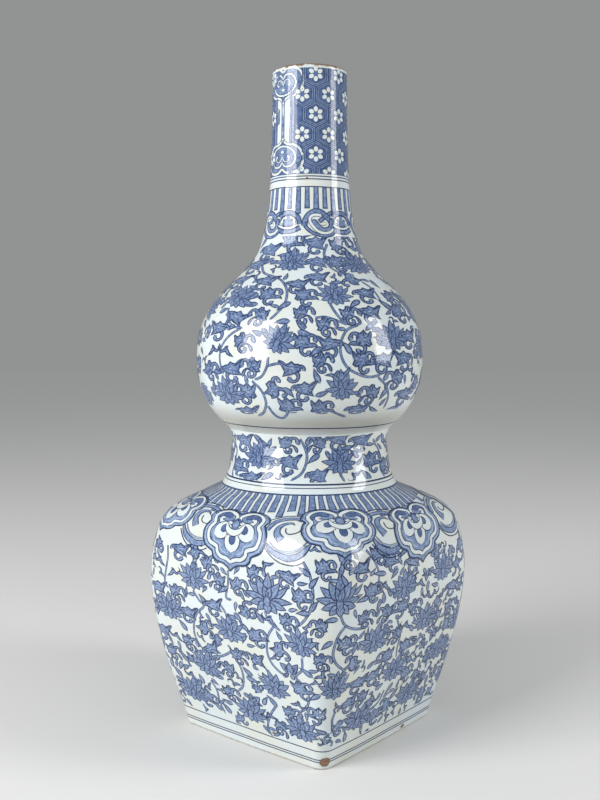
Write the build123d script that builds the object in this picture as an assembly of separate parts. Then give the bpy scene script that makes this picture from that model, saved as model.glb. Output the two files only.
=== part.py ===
from build123d import *
import math
import os

# A square-based double gourd vase in luted porcelain sections, in millimetres.
# The foot stands on Z = 0, the mouth looks up along +Z, and the lower bulb's flat faces look along X and Y.

# How tall each section stands, from the foot up.
FOOT_RIM_HEIGHT = 8.0
BASE_THICKNESS = 8.0
WALL_HEIGHT = 134.0
SHOULDER_HEIGHT = 43.0
COLLAR_HEIGHT = 48.0
BULB_BOTTOM_HEIGHT = 56.0
BULB_TOP_HEIGHT = 88.0
NECK_HEIGHT = 135.0

# The lower bulb: half the width across its faces, and the radius of its upright corners.
FOOT_HALF_WIDTH = 73.5
FOOT_CORNER_RADIUS = 9.0
GIRTH_HALF_WIDTH = 102.5
GIRTH_CORNER_RADIUS = 36.0
COLLAR_JOINT_RADIUS = 76.0
FOOT_RIM_WIDTH = 11.0
RECESS_CORNER_RADIUS = 6.0

# The round sections: outside radii.
WAIST_RADIUS = 62.0
CREASE_RADIUS = 64.0
BULB_GIRTH_RADIUS = 90.0
NECK_JOINT_RADIUS = 39.2
LIP_RADIUS = 29.2

# Wall thicknesses, and the rounding of the worn edges.
WALL = 5.6
LIP_WALL = 4.6
FOOT_EDGE_RADIUS = 1.6
# How far the cutting tools run past what they cut.
OVERRUN = 4.0

# The belly from the foot to the shoulder joint, at six stations: heights as shares of the way up, half widths
# and corner radii as shares of the way from the foot's value to the girth's, and the angle of half a face's crown.
BELLY_HEIGHT_SHARES = (0.0, 0.06, 0.30, 0.54, 0.78, 1.0)
BELLY_WIDTH_SHARES = (0.0, 0.06, 0.41, 0.74, 0.965, 1.0)
BELLY_CORNER_SHARES = (0.0, 0.02, 0.15, 0.41, 0.70, 1.0)
BELLY_CROWN_DEGREES = (2.0, 2.0, 3.0, 4.0, 5.0, 6.5)
# The shoulder from there to the collar joint, where the plan is a circle: heights and half widths as shares of
# the way up and in, and corner radii as shares of the half width.
SHOULDER_HEIGHT_SHARES = (0.33, 0.56, 0.74, 0.90, 1.0)
SHOULDER_WIDTH_SHARES = (0.075, 0.205, 0.45, 0.78, 1.0)
SHOULDER_CORNER_SHARES = (0.38, 0.425, 0.51, 0.74, 1.0)
SHOULDER_CROWN_DEGREES = (8.0, 10.0, 13.0, 18.0, 22.5)

# The round sections' outlines: shares of the way up a section, and of the way from the first radius named
# to the second.
COLLAR_HEIGHT_SHARES = (0.08, 0.22, 0.45, 0.75)
COLLAR_WAISTING_SHARES = (0.38, 0.66, 0.88, 1.0)
BULB_BOTTOM_HEIGHT_SHARES = (0.08, 0.23, 0.38, 0.54, 0.72)
BULB_BOTTOM_SWELL_SHARES = (0.19, 0.49, 0.70, 0.855, 0.955)
BULB_TOP_HEIGHT_SHARES = (0.24, 0.42, 0.60, 0.77, 0.88)
BULB_TOP_DRAW_SHARES = (0.055, 0.19, 0.43, 0.735, 0.895)
NECK_HEIGHT_SHARES = (0.09, 0.21, 0.34, 0.56)
NECK_DRAW_SHARES = (0.33, 0.60, 0.77, 0.91)
# Radius gained for each unit of height, where the outlines meet at a joint.
COLLAR_FOOT_SLOPE = -1.8
COLLAR_TOP_SLOPE = 0.3
BULB_FOOT_SLOPE = 1.25
NECK_JOINT_SLOPE = -0.34

# The levels at which one section is luted to the next.
BASE_TOP = FOOT_RIM_HEIGHT + BASE_THICKNESS
SHOULDER_JOINT = BASE_TOP + WALL_HEIGHT
COLLAR_JOINT = SHOULDER_JOINT + SHOULDER_HEIGHT
CREASE = COLLAR_JOINT + COLLAR_HEIGHT
BULB_GIRTH = CREASE + BULB_BOTTOM_HEIGHT
NECK_JOINT = BULB_GIRTH + BULB_TOP_HEIGHT
LIP_TOP = NECK_JOINT + NECK_HEIGHT
RECESS_HALF_WIDTH = FOOT_HALF_WIDTH - FOOT_RIM_WIDTH


def between(first, last, share):
    """The value a share of the way from first to last."""
    return first + (last - first) * share


def belly_stations():
    """Height, half width, corner radius and crown angle from the table to the shoulder joint."""
    shares = zip(BELLY_HEIGHT_SHARES, BELLY_WIDTH_SHARES, BELLY_CORNER_SHARES, BELLY_CROWN_DEGREES)
    return [
        (
            between(0, SHOULDER_JOINT, up),
            between(FOOT_HALF_WIDTH, GIRTH_HALF_WIDTH, out),
            between(FOOT_CORNER_RADIUS, GIRTH_CORNER_RADIUS, turn),
            crown,
        )
        for up, out, turn, crown in shares
    ]


def shoulder_stations():
    """The same four values from above the shoulder joint to the collar joint."""
    shares = zip(
        SHOULDER_HEIGHT_SHARES, SHOULDER_WIDTH_SHARES, SHOULDER_CORNER_SHARES, SHOULDER_CROWN_DEGREES
    )
    stations = []
    for up, draw, roundness, crown in shares:
        half = between(GIRTH_HALF_WIDTH, COLLAR_JOINT_RADIUS, draw)
        height = between(SHOULDER_JOINT, COLLAR_JOINT, up)
        stations.append((height, half, half * roundness, crown))
    return stations


def slopes_of(stations):
    """How much the half width grows for each unit of height, at each station."""
    last = len(stations) - 1
    found = []
    for i in range(last):
        below = stations[max(i - 1, 0)]
        above = stations[i + 1]
        found.append((above[1] - below[1]) / (above[0] - below[0]))
    return [*found, COLLAR_FOOT_SLOPE]


def inner_stations(stations):
    """The stations moved in by the wall, further where the wall slopes, with the luted corners left thicker."""
    moved = []
    for (height, half, corner, crown), slope in zip(stations, slopes_of(stations)):
        inner_half = half - WALL * math.hypot(1, slope)
        moved.append((height, inner_half, corner * inner_half / half, crown))
    return moved


def rounded_square(height, half, corner, crown):
    """A square plan with crowned faces: four long arcs and four corner arcs, each tangent to the next."""
    lean = math.radians(crown)
    spread = math.cos(lean) - math.sin(lean)
    face_radius = (half - corner * spread) / (1 - spread)
    corner_centre = (face_radius - corner) * math.sin(lean)
    edges = []
    for quarter in range(4):
        turn = 90 * quarter
        face_middle = Vector(half - face_radius, 0).rotate(Axis.Z, turn)
        corner_middle = Vector(corner_centre, corner_centre).rotate(Axis.Z, turn)
        edges.append(CenterArc(face_middle, face_radius, turn - crown, 2 * crown))
        edges.append(CenterArc(corner_middle, corner, turn + crown, 90 - 2 * crown))
    return Pos(0, 0, height) * make_face(edges)


def lofted(stations):
    """The solid through a rounded square at each station."""
    return loft([rounded_square(*station) for station in stations])


def slice_between(solid, low, high):
    """What lies between two heights."""
    span = 4 * GIRTH_HALF_WIDTH
    slab = Pos(0, 0, low) * Box(span, span, high - low, align=(Align.CENTER, Align.CENTER, Align.MIN))
    return solid & slab


def quarter_towards(angle):
    """A wedge with its point on the axis that takes in one face of the lower bulb, up to the mitres."""
    reach = 4 * GIRTH_HALF_WIDTH
    plan = Polyline((0, 0), (reach, -reach), (reach, reach), (0, 0))
    return Rot(0, 0, angle) * extrude(make_face(plan), LIP_TOP)


def foot_rim(outside):
    """The low square frame that the vase stands on, with its bottom edges eased."""
    rim = slice_between(outside, 0, FOOT_RIM_HEIGHT)
    recess = RectangleRounded(2 * RECESS_HALF_WIDTH, 2 * RECESS_HALF_WIDTH, RECESS_CORNER_RADIUS)
    rim -= Pos(0, 0, -OVERRUN) * extrude(recess, FOOT_RIM_HEIGHT + 2 * OVERRUN)
    return fillet(rim.faces().sort_by(Axis.Z)[0].edges(), FOOT_EDGE_RADIUS)


def lower_bulb():
    """Foot rim, base slab, four mitred walls and the shoulder, cut from one crowned square shell."""
    stations = belly_stations() + shoulder_stations()
    outside = lofted(stations)
    inside = slice_between(lofted(inner_stations(stations)), BASE_TOP, COLLAR_JOINT)
    shell = slice_between(outside, BASE_TOP, COLLAR_JOINT) - inside
    walls = slice_between(shell, BASE_TOP, SHOULDER_JOINT)
    sections = {
        "foot_rim": foot_rim(outside),
        "base_slab": slice_between(outside, FOOT_RIM_HEIGHT, BASE_TOP),
        "shoulder": slice_between(shell, SHOULDER_JOINT, COLLAR_JOINT),
    }
    for side, angle in (("right", 0), ("back", 90), ("left", 180), ("front", 270)):
        sections["wall_" + side] = walls & quarter_towards(angle)
    return sections


def outline(low, high, up_shares, across_shares, radii=None):
    """Points of a round section's outside, from its lower joint to its upper one, as (radius, height)."""
    from_radius, to_radius = radii or (low[0], high[0])
    middle = [
        (between(from_radius, to_radius, across), between(low[1], high[1], up))
        for up, across in zip(up_shares, across_shares)
    ]
    return [low, *middle, high]


def thrown(points, slopes, walls):
    """The edges of a round section's wall, from outside points and the slope and wall at its two ends."""
    tangents = [(slope, 1) for slope in slopes]
    outside = Spline(*points, tangents=tangents)
    inner = []
    for radius, height in points:
        way = (height - points[0][1]) / (points[-1][1] - points[0][1])
        along = outside.tangent_at(outside.param_at_point((radius, height)))
        inner.append((radius - between(*walls, way) * math.hypot(1, along.X / along.Y), height))
    inside = Spline(*inner, tangents=tangents)
    joints = [Line(outside @ 0, inside @ 0), Line(outside @ 1, inside @ 1)]
    return outside, inside, joints


def turned(edges):
    """The solid that a closed outline in the XZ plane sweeps round the axis."""
    return revolve(Plane.XZ * make_face(edges), Axis.Z)


def waist_collar():
    points = outline(
        (COLLAR_JOINT_RADIUS, COLLAR_JOINT),
        (CREASE_RADIUS, CREASE),
        COLLAR_HEIGHT_SHARES,
        COLLAR_WAISTING_SHARES,
        (COLLAR_JOINT_RADIUS, WAIST_RADIUS),
    )
    outside, inside, joints = thrown(points, (COLLAR_FOOT_SLOPE, COLLAR_TOP_SLOPE), (WALL, WALL))
    return turned([outside, inside, *joints])


def bulb_bottom():
    points = outline(
        (CREASE_RADIUS, CREASE),
        (BULB_GIRTH_RADIUS, BULB_GIRTH),
        BULB_BOTTOM_HEIGHT_SHARES,
        BULB_BOTTOM_SWELL_SHARES,
    )
    outside, inside, joints = thrown(points, (BULB_FOOT_SLOPE, 0), (WALL, WALL))
    return turned([outside, inside, *joints])


def bulb_top():
    points = outline(
        (BULB_GIRTH_RADIUS, BULB_GIRTH),
        (NECK_JOINT_RADIUS, NECK_JOINT),
        BULB_TOP_HEIGHT_SHARES,
        BULB_TOP_DRAW_SHARES,
    )
    outside, inside, joints = thrown(points, (0, NECK_JOINT_SLOPE), (WALL, WALL))
    return turned([outside, inside, *joints])


def neck():
    """The tapering tube, whose lip is a half round across the wall."""
    points = outline(
        (NECK_JOINT_RADIUS, NECK_JOINT),
        (LIP_RADIUS, LIP_TOP - LIP_WALL / 2),
        NECK_HEIGHT_SHARES,
        NECK_DRAW_SHARES,
    )
    outside, inside, joints = thrown(points, (NECK_JOINT_SLOPE, 0), (WALL, LIP_WALL))
    lip = ThreePointArc(outside @ 1, (LIP_RADIUS - LIP_WALL / 2, LIP_TOP), inside @ 1)
    return turned([outside, inside, joints[0], lip])


def sections():
    """Every luted section of the vase, by name."""
    return {
        **lower_bulb(),
        "waist_collar": waist_collar(),
        "bulb_bottom": bulb_bottom(),
        "bulb_top": bulb_top(),
        "neck": neck(),
    }


os.makedirs("parts", exist_ok=True)
for name, section in sections().items():
    export_step(section, f"parts/{name}.step")
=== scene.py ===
"""Double gourd vase: glaze, cobalt painting, kiln marks and a plain studio."""

import math
import random

import bmesh
import bpy
from bpy.props import FloatProperty, FloatVectorProperty, IntProperty, PointerProperty
from mathutils import Euler, Matrix, Vector, geometry
from mathutils.bvhtree import BVHTree


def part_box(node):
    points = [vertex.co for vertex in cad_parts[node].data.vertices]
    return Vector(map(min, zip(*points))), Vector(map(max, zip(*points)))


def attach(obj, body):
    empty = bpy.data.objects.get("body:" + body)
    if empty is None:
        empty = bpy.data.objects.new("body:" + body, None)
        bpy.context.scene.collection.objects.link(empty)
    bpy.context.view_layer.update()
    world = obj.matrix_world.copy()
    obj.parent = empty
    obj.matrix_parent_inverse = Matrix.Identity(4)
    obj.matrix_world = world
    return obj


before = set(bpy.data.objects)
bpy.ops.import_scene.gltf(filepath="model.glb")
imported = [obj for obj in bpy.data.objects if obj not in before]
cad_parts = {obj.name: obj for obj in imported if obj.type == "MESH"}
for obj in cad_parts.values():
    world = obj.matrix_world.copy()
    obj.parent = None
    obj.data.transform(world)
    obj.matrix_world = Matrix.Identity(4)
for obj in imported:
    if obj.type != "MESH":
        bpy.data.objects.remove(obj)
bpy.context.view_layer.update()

bl_info = {
    "name": "Double gourd vase",
    "version": (1, 0, 0),
    "blender": (4, 5, 0),
    "location": "3D View > Sidebar > Vase",
    "description": "Glazes and paints the double gourd vase and sets it in a plain studio",
    "category": "Object",
}

MM = 0.001
BODY = "root"

# Levels of the vase, from the lowest and highest corners of its sections
SHOULDER_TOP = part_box("shoulder")[1].z
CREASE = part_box("waist_collar")[1].z
BULB_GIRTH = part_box("bulb_bottom")[1].z
NECK_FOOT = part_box("neck")[0].z
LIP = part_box("neck")[1].z
OUTER_NODES = (
    "foot_rim", "base_slab", "wall_front", "wall_right", "wall_back", "wall_left",
    "shoulder", "waist_collar", "bulb_bottom", "bulb_top", "neck",
)

# The photograph's camera: its picture in pixels, the height of its sensor in millimetres, its lens as a
# share of the picture's height, where it stands and how it is turned
PICTURE_WIDTH = 600
PICTURE_HEIGHT = 800
SENSOR = 36.0
LENS_SHARE = 1.25
CAMERA_DISTANCE = 0.802
CAMERA_HEIGHT = 0.3263
CAMERA_AZIMUTH = math.radians(39.3)
CAMERA_PITCH = math.radians(4.574)
CAMERA_YAW = math.radians(0.544)

# Paint lies just clear of the glaze, and each layer just clear of the one below
PAINT_LIFT = 0.11 * MM
LAYER_RISE = 0.02 * MM
# Width of a stroke's drawn edge, in millimetres
EDGE = 0.46
# Distance from the axis, well outside the vase, at which rays towards it start
RAY_START = 0.3
HALF_TURN = math.pi
FULL_TURN = 2 * math.pi


def painted(red, green, blue):
    """A colour as it is seen on the vase, from 0 to 255, turned into Blender's linear colour."""
    def straight(value):
        value /= 255
        return value / 12.92 if value <= 0.04045 else ((value + 0.055) / 1.055) ** 2.4
    return straight(red), straight(green), straight(blue)


def colour(label, note, shown):
    """A colour setting."""
    return FloatVectorProperty(name=label, description=note, default=painted(*shown), size=3,
                               min=0.0, max=1.0, subtype="COLOR")


def length(label, note, millimetres):
    """A length setting, given in millimetres and held in metres."""
    return FloatProperty(name=label, description=note, default=millimetres * MM, unit="LENGTH")


def angle(label, note, degrees):
    """An angle setting, given in degrees."""
    return FloatProperty(name=label, description=note, default=math.radians(degrees), unit="ROTATION")


def factor(label, note, default, low=0.3, high=2.0):
    """A setting without a unit, such as the size of a drawing that 1 leaves as it is."""
    return FloatProperty(name=label, description=note, default=default, min=low, max=high, subtype="FACTOR")


def count(label, note, default, low=1):
    """A setting that is a whole number."""
    return IntProperty(name=label, description=note, default=default, min=low)


class GlazeSettings(bpy.types.PropertyGroup):
    """Colours and finish of the glaze and the cobalt under it."""

    white: colour("White", "Glaze over bare porcelain", (206, 216, 220))
    cream: colour("Cream", "Warmer patches of the same glaze", (209, 213, 205))
    # Painted shade: the colour that the plain band under the upper bulb is darkened towards, standing in for
    # the shade under the bulb
    painted_shade: colour("Band", "Greyer glaze of the plain band under the upper bulb", (178, 178, 170))
    wash: colour("Wash", "Middle blue that fills flowers and leaves", (135, 154, 187))
    deep_wash: colour("Deep wash", "The same blue where it pooled", (84, 104, 141))
    outline: colour("Outline", "Dark blue of the drawn lines", (24, 38, 70))
    soft_line: colour("Soft line", "Drawn lines where the cobalt was thin", (54, 74, 114))
    pale: colour("Pale wash", "Thin blue inside the cloud heads", (158, 178, 202))
    ground: colour("Ground", "Blue behind the hexagons of the neck", (88, 110, 152))
    worn: colour("Worn rim", "Bare brown body at the lip and the foot", (148, 110, 86))
    biscuit: colour("Biscuit", "Bare body under the foot", (214, 202, 184))
    speck: colour("Speck", "Iron specks in the glaze", (92, 80, 66))
    roughness: factor("Roughness", "Roughness of the glaze", 0.08, low=0.0, high=1.0)


class NeckSettings(bpy.types.PropertyGroup):
    """Bands of the neck, measured down from the lip or up from its foot."""

    lip_white: length("Lip white", "White glaze left above the painting", 3.5)
    lines_height: length("Lines", "Height of the thin lines above the neck's foot", 50)
    bars_top: length("Bars' top", "Upper edge of the bars above the neck's foot", 42)
    bars_low: length("Bars' foot", "Lower edge of the bars above the neck's foot", 26)
    bars: count("Bars", "Bars round the neck", 30, low=8)
    first_bar: angle("First bar", "Turn of the first short bar to the right of the camera", -3.3)
    first_row: length("First row", "Depth of the first row of hexagons below the lip", 8)
    first_cell: angle("First cell", "Turn of the first hexagon to the right of the camera", 9)
    cartouche: angle("Cartouche", "Turn of the first cartouche to the right of the camera", -43.5)
    cartouche_half: angle("Cartouche half", "Half the turn that a cartouche takes up", 27)
    cartouche_top: length("Cartouche top", "Depth of the upper cloud head below the lip", 15)
    cartouche_low: length("Cartouche foot", "Height of the lower cloud head above the neck's foot", 66)
    first_volute: angle("First volute", "Turn of the first volute to the right of the camera", 7.7)
    volute_height: length("Volute height", "Height of the volutes' middle above the neck's foot", 15.4)
    cells: count("Cells", "Hexagons in one row round the neck", 9, low=4)
    cell_rise: length("Cell rise", "Height from one row of hexagons to the next", 15)
    volutes: count("Volutes", "Volutes round the neck's foot", 5, low=3)


class BulbSettings(bpy.types.PropertyGroup):
    """Scroll on the round upper bulb."""

    scroll_top: length("Scroll top", "Upper edge of the scroll above the girth", 93)
    scroll_low: length("Scroll foot", "Lower edge of the scroll below the girth", 37)
    flower_size: factor("Flower size", "Size of the flowers", 0.8)
    leaf_size: factor("Leaf size", "Size of the drawn leaves", 1.03)
    seed: count("Seed", "Seed of the leaves between the drawn ones", 3, low=0)
    tries: count("Tries", "Tries to place each size of the leaves between the drawn ones", 900)


class WaistSettings(bpy.types.PropertyGroup):
    """Scroll and lines on the flared waist."""

    scroll_top: length("Scroll top", "Upper edge of the scroll below the crease", 1.2)
    scroll_low: length("Scroll foot", "Lower edge of the scroll above the shoulder", 13)
    flower_size: factor("Flower size", "Size of the flowers", 0.78)
    leaf_size: factor("Leaf size", "Size of the drawn leaves", 1.0)
    seed: count("Seed", "Seed of the leaves between the drawn ones", 5, low=0)
    tries: count("Tries", "Tries to place each size of the leaves between the drawn ones", 500)


class ShoulderSettings(bpy.types.PropertyGroup):
    """Bars and cloud heads round the shoulder."""

    belt_height: length("Belt height", "Height of the bars' upper edge above the shoulder's joint", 3.6)
    belt_line: length("Belt line", "Width of the line above the bars", 0.9)
    bars: count("Bars", "Bars round the shoulder", 72, low=8)
    bar_length: length("Bar length", "Length of the long bars down the shoulder", 25)
    heads: count("Cloud heads", "Cloud heads round the shoulder", 8, low=4)
    first_head: angle("First head", "Turn of the first head to the right of the camera", -33.5)
    head_drop: length("Head drop", "Way down the side from the bars' edge to the middle of a head", 39.4)


class BellySettings(bpy.types.PropertyGroup):
    """Scroll on the square lower bulb."""

    scroll_top: length("Scroll top", "Upper edge of the scroll below the shoulder's top", 22)
    scroll_low: length("Scroll foot", "Lower edge of the scroll above the table", 17)
    flower_size: factor("Flower size", "Size of the flowers", 0.78)
    leaf_size: factor("Leaf size", "Size of the drawn leaves", 0.92)
    seed: count("Seed", "Seed of the leaves between the drawn ones", 11, low=0)
    tries: count("Tries", "Tries to place each size of the leaves between the drawn ones", 2500)


class FootSettings(bpy.types.PropertyGroup):
    """Lines round the foot."""

    upper_line: length("Upper line", "Height of the line under the scroll", 15.4)
    double_line: length("Double line", "Height of the double line above the table", 8)
    line_width: length("Line width", "Width of each line", 0.8)


class StageSettings(bpy.types.PropertyGroup):
    """Floor, lamps and camera."""

    floor: colour("Floor", "Plain floor", (224, 224, 222))
    sky: colour("Surroundings", "Plain surroundings", (238, 240, 242))
    sky_strength: FloatProperty(name="Surroundings' strength", description="Light from all round",
                                default=0.45, min=0.0)
    window_power: FloatProperty(name="Window power", description="Power of the left window lamp",
                                default=28.0, min=0.0, subtype="POWER")


# Shapes of a brush stroke: its half width, as a share of the widest, along its length

def petal(share):
    """Pointed at its tip, fullest before the middle."""
    return abs(math.sin(math.pi * share ** 0.75)) ** 0.8


def drop(share):
    """Thin at its start, round at its end."""
    return abs(math.sin(math.pi * share ** 1.7)) ** 0.62


def bead(share):
    """Round at both ends."""
    return math.sqrt(max(0.0, 1 - (2 * share - 1) ** 2))


def lobe(share):
    """Broad where it leaves the leaf, pointed at its tip."""
    return math.sin(math.pi * (0.24 + 0.76 * share)) ** 0.9


def hook(share):
    """Full at its start, slim in its bend, thick and round at its end."""
    slim = 0.6 + 0.4 * max(0.0, 1 - share / 0.45) ** 2
    knob = 0.42 * math.exp(-((share - 0.84) / 0.15) ** 2)
    return (slim + knob) * math.sqrt(min(1.0, max(0.0, 1 - share) / 0.1))


def flare(share):
    """A bar that widens a little downwards."""
    return 0.86 + 0.14 * share


def tail(share):
    """Full at its start, thin at its end."""
    return (1 - share) ** 0.7


def even(share):
    """The same width all along."""
    return 1.0


def stem(share):
    """Even, and closed at its far end."""
    return math.sqrt(min(1.0, max(0.0, 1 - share) / 0.06))


# Drawing on flat sheets, in millimetres. A drawing holds one sheet for each paint, made when that paint is
# first used, and each point of a sheet knows its layer

def new_sheet():
    """An empty mesh that remembers how many layers up each point lies."""
    sheet = bmesh.new()
    sheet.verts.layers.float.new("layer")
    return sheet


def strip(drawing, paint, rail, other_rail, layer, rows=1):
    """Rows of faces between two rails of points."""
    sheet = drawing.get(paint)
    if sheet is None:
        sheet = drawing[paint] = new_sheet()
    number = sheet.verts.layers.float["layer"]
    steps = len(rail) - 1
    made = bmesh.ops.create_grid(sheet, x_segments=steps, y_segments=rows, size=1)
    for vert in made["verts"]:
        place = round((vert.co.x + 1) / 2 * steps)
        vert.co = rail[place].lerp(other_rail[place], (vert.co.y + 1) / 2)
        vert[number] = layer


def fill(drawing, paint, right_side, layer, rows=6):
    """Fills a shape that is the same on both sides, given its right side from the foot up."""
    right = smooth_points([(x, y, 0) for x, y in right_side], 3)
    left = [Vector((-spot.x, spot.y, 0)) for spot in right]
    strip(drawing, paint, right, left, layer, rows)


def stroke(drawing, spine, half_width, shape, layer=0, inside="wash", outside="outline", edge=EDGE, vein=0.0,
           rows=1):
    """One brush stroke: a wash between two drawn edges, with a drawn vein if it has one."""
    full = [half_width * shape(share) for share, spot, side in spine]
    inner = [max(0.0, half - edge) for half in full]
    middle = [min(vein * (1 - share), half) for (share, spot, side), half in zip(spine, inner)]
    borders = [[-half for half in inner], inner]
    paints = [inside]
    if vein:
        borders[1:1] = [[-half for half in middle], middle]
        paints = [inside, outside, inside]
    if edge:
        borders = [[-half for half in full], *borders, full]
        paints = [outside, *paints, outside]
    for paint, low, high in zip(paints, borders, borders[1:]):
        rails = [[spot + side * offset for (share, spot, side), offset in zip(spine, offsets)]
                 for offsets in (low, high)]
        strip(drawing, paint, rails[0], rails[1], layer, rows if paint == inside else 1)


def shares_of(steps):
    """Shares from 0 to 1, closer together at the ends, where strokes are round."""
    return [(1 - math.cos(math.pi * step / steps)) / 2 for step in range(steps + 1)]


def curl(start, heading, reach, bend=0.0, tighten=1.4, steps=8):
    """The spine of a stroke that leaves its start at a heading and bends more and more."""
    spine = []
    spot = Vector((start[0], start[1], 0))
    before = 0.0
    for share in shares_of(steps):
        turn = math.radians(heading + bend * ((before + share) / 2) ** tighten)
        spot = spot + Vector((math.cos(turn), math.sin(turn), 0)) * reach * (share - before)
        ahead = math.radians(heading + bend * share ** tighten)
        spine.append((share, spot, Vector((-math.sin(ahead), math.cos(ahead), 0))))
        before = share
    return spine


def smooth_points(points, per_span=4):
    """Points on one smooth curve through the given points."""
    points = [Vector(point) for point in points]
    padded = [points[0] * 2 - points[1]] + points + [points[-1] * 2 - points[-2]]
    smooth = []
    for place in range(len(points) - 1):
        before, start, end, after = padded[place:place + 4]
        for step in range(per_span):
            t = step / per_span
            smooth.append(0.5 * (2 * start + (end - before) * t
                                 + (2 * before - 5 * start + 4 * end - after) * t * t
                                 + (3 * start - before - 3 * end + after) * t ** 3))
    return smooth + [points[-1]]


def through(points, per_span=4):
    """The spine of a flat stroke through given points."""
    line = smooth_points([(point[0], point[1], 0) for point in points], per_span)
    spine = []
    for place, spot in enumerate(line):
        ahead = line[min(place + 1, len(line) - 1)]
        behind = line[max(place - 1, 0)]
        along = (ahead - behind).normalized()
        spine.append((place / (len(line) - 1), spot, Vector((-along.y, along.x, 0))))
    return spine


def mirrored(points):
    """The same points on the other side of the upright axis."""
    return [(-point[0], point[1]) for point in points]


def stamp_of(drawing, flip=False):
    """Turns a finished flat drawing into meshes that can be pressed on the vase many times."""
    stamp = {}
    for paint, sheet in drawing.items():
        if flip:
            bmesh.ops.scale(sheet, vec=(-1, 1, 1), verts=sheet.verts)
            bmesh.ops.reverse_faces(sheet, faces=sheet.faces)
        mesh = bpy.data.meshes.new("stamp")
        sheet.to_mesh(mesh)
        sheet.free()
        stamp[paint] = mesh
    return stamp


# The vase's outer skin, and the places on it

class Skin:
    """The glazed outside of the vase, which the paint lies on."""

    def __init__(self):
        self.corners = []
        self.shading = []
        for name in OUTER_NODES:
            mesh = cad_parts[name].data
            mesh.calc_loop_triangles()
            for triangle in mesh.loop_triangles:
                # What faces the axis is the inside of the vase
                if triangle.normal.x * triangle.center.x + triangle.normal.y * triangle.center.y <= 0:
                    continue
                self.corners.extend(mesh.vertices[corner].co.copy() for corner in triangle.vertices)
                self.shading.append([mesh.corner_normals[loop].vector.copy() for loop in triangle.loops])
        faces = [(start, start + 1, start + 2) for start in range(0, len(self.corners), 3)]
        self.tree = BVHTree.FromPolygons(self.corners, faces)

    def smooth_normal(self, place, face):
        """The shaded normal at a place on a face."""
        a, b, c = self.corners[3 * face:3 * face + 3]
        return geometry.barycentric_transform(place, a, b, c, *self.shading[face]).normalized()

    def under(self, point):
        """The nearest place on the skin, and its normal."""
        place, normal, face, distance = self.tree.find_nearest(point)
        return place, self.smooth_normal(place, face)

    def hit(self, origin, direction):
        """The first place on the skin along a ray, and its normal."""
        place, normal, face, distance = self.tree.ray_cast(origin, direction)
        if place is None:
            return None
        return place, self.smooth_normal(place, face)

    def across(self, turn, height):
        """The place at a turn round the axis and a height, met from outside."""
        outward = Vector((math.cos(turn), math.sin(turn), 0))
        found = self.hit(outward * RAY_START + Vector((0, 0, height)), -outward)
        if found is None:
            raise RuntimeError(f"nothing of the vase at height {height:.4f}")
        return found

    def down(self, turn, height, way):
        """The place a way down the side from a turn and a height."""
        place, normal = self.across(turn, height)
        step = 2 * MM
        while way > 0:
            place, normal = self.under(place - tangents(normal)[1] * min(step, way))
            way -= step
        return place, normal

    def seen(self, pixel):
        """The place that shows at a pixel of the photograph."""
        focal = LENS_SHARE * PICTURE_HEIGHT
        ray = Vector((pixel[0] - PICTURE_WIDTH / 2, PICTURE_HEIGHT / 2 - pixel[1], -focal))
        return self.hit(camera_place(), camera_matrix() @ ray.normalized())


def camera_place():
    """Where the photograph's camera stands."""
    return Vector((CAMERA_DISTANCE * math.sin(CAMERA_AZIMUTH),
                   -CAMERA_DISTANCE * math.cos(CAMERA_AZIMUTH), CAMERA_HEIGHT))


def camera_angles():
    """The camera's turns about X, Y and Z."""
    return HALF_TURN / 2 - CAMERA_PITCH, 0.0, CAMERA_AZIMUTH + CAMERA_YAW


def camera_matrix():
    """The camera's turn as a matrix."""
    return Euler(camera_angles(), "XYZ").to_matrix()


def facing(turn):
    """A turn measured to the right from the side that the camera sees, as a turn about the axis."""
    return CAMERA_AZIMUTH - HALF_TURN / 2 + turn


def tangents(normal, turn=0.0):
    """Right and up along the skin, turned anticlockwise."""
    right = Vector((0, 0, 1)).cross(normal).normalized()
    up = normal.cross(right)
    return (right * math.cos(turn) + up * math.sin(turn), up * math.cos(turn) - right * math.sin(turn))


def spot_map(place, normal, turn=0.0, size=1.0):
    """Carries a flat drawing to a place on the skin."""
    right, up = tangents(normal, turn)
    scale = size * MM
    return lambda point: place + right * point.x * scale + up * point.y * scale


def belt_map(skin, turn, height, size=1.0):
    """Carries a flat drawing to a belt: x runs round the vase and y up its side."""
    place, normal = skin.across(turn, height)
    radius = math.hypot(place.x, place.y)
    scale = size * MM

    def carried(point):
        start, outward = skin.across(turn + point.x * scale / radius, height)
        return start + tangents(outward)[1] * point.y * scale

    return carried


def wrap_map(skin, turn, height, radius):
    """Carries a flat drawing round a steep part of the vase: y is plain height."""
    return lambda point: skin.across(turn + point.x * MM / radius, height + point.y * MM)[0]


def limited(point, height, low, high):
    """Keeps a point of a drawing that lies at a height between two heights of the vase."""
    y = min(max(point.y * MM, low - height), high - height) / MM
    return Vector((point.x, y, point.z))


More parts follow.
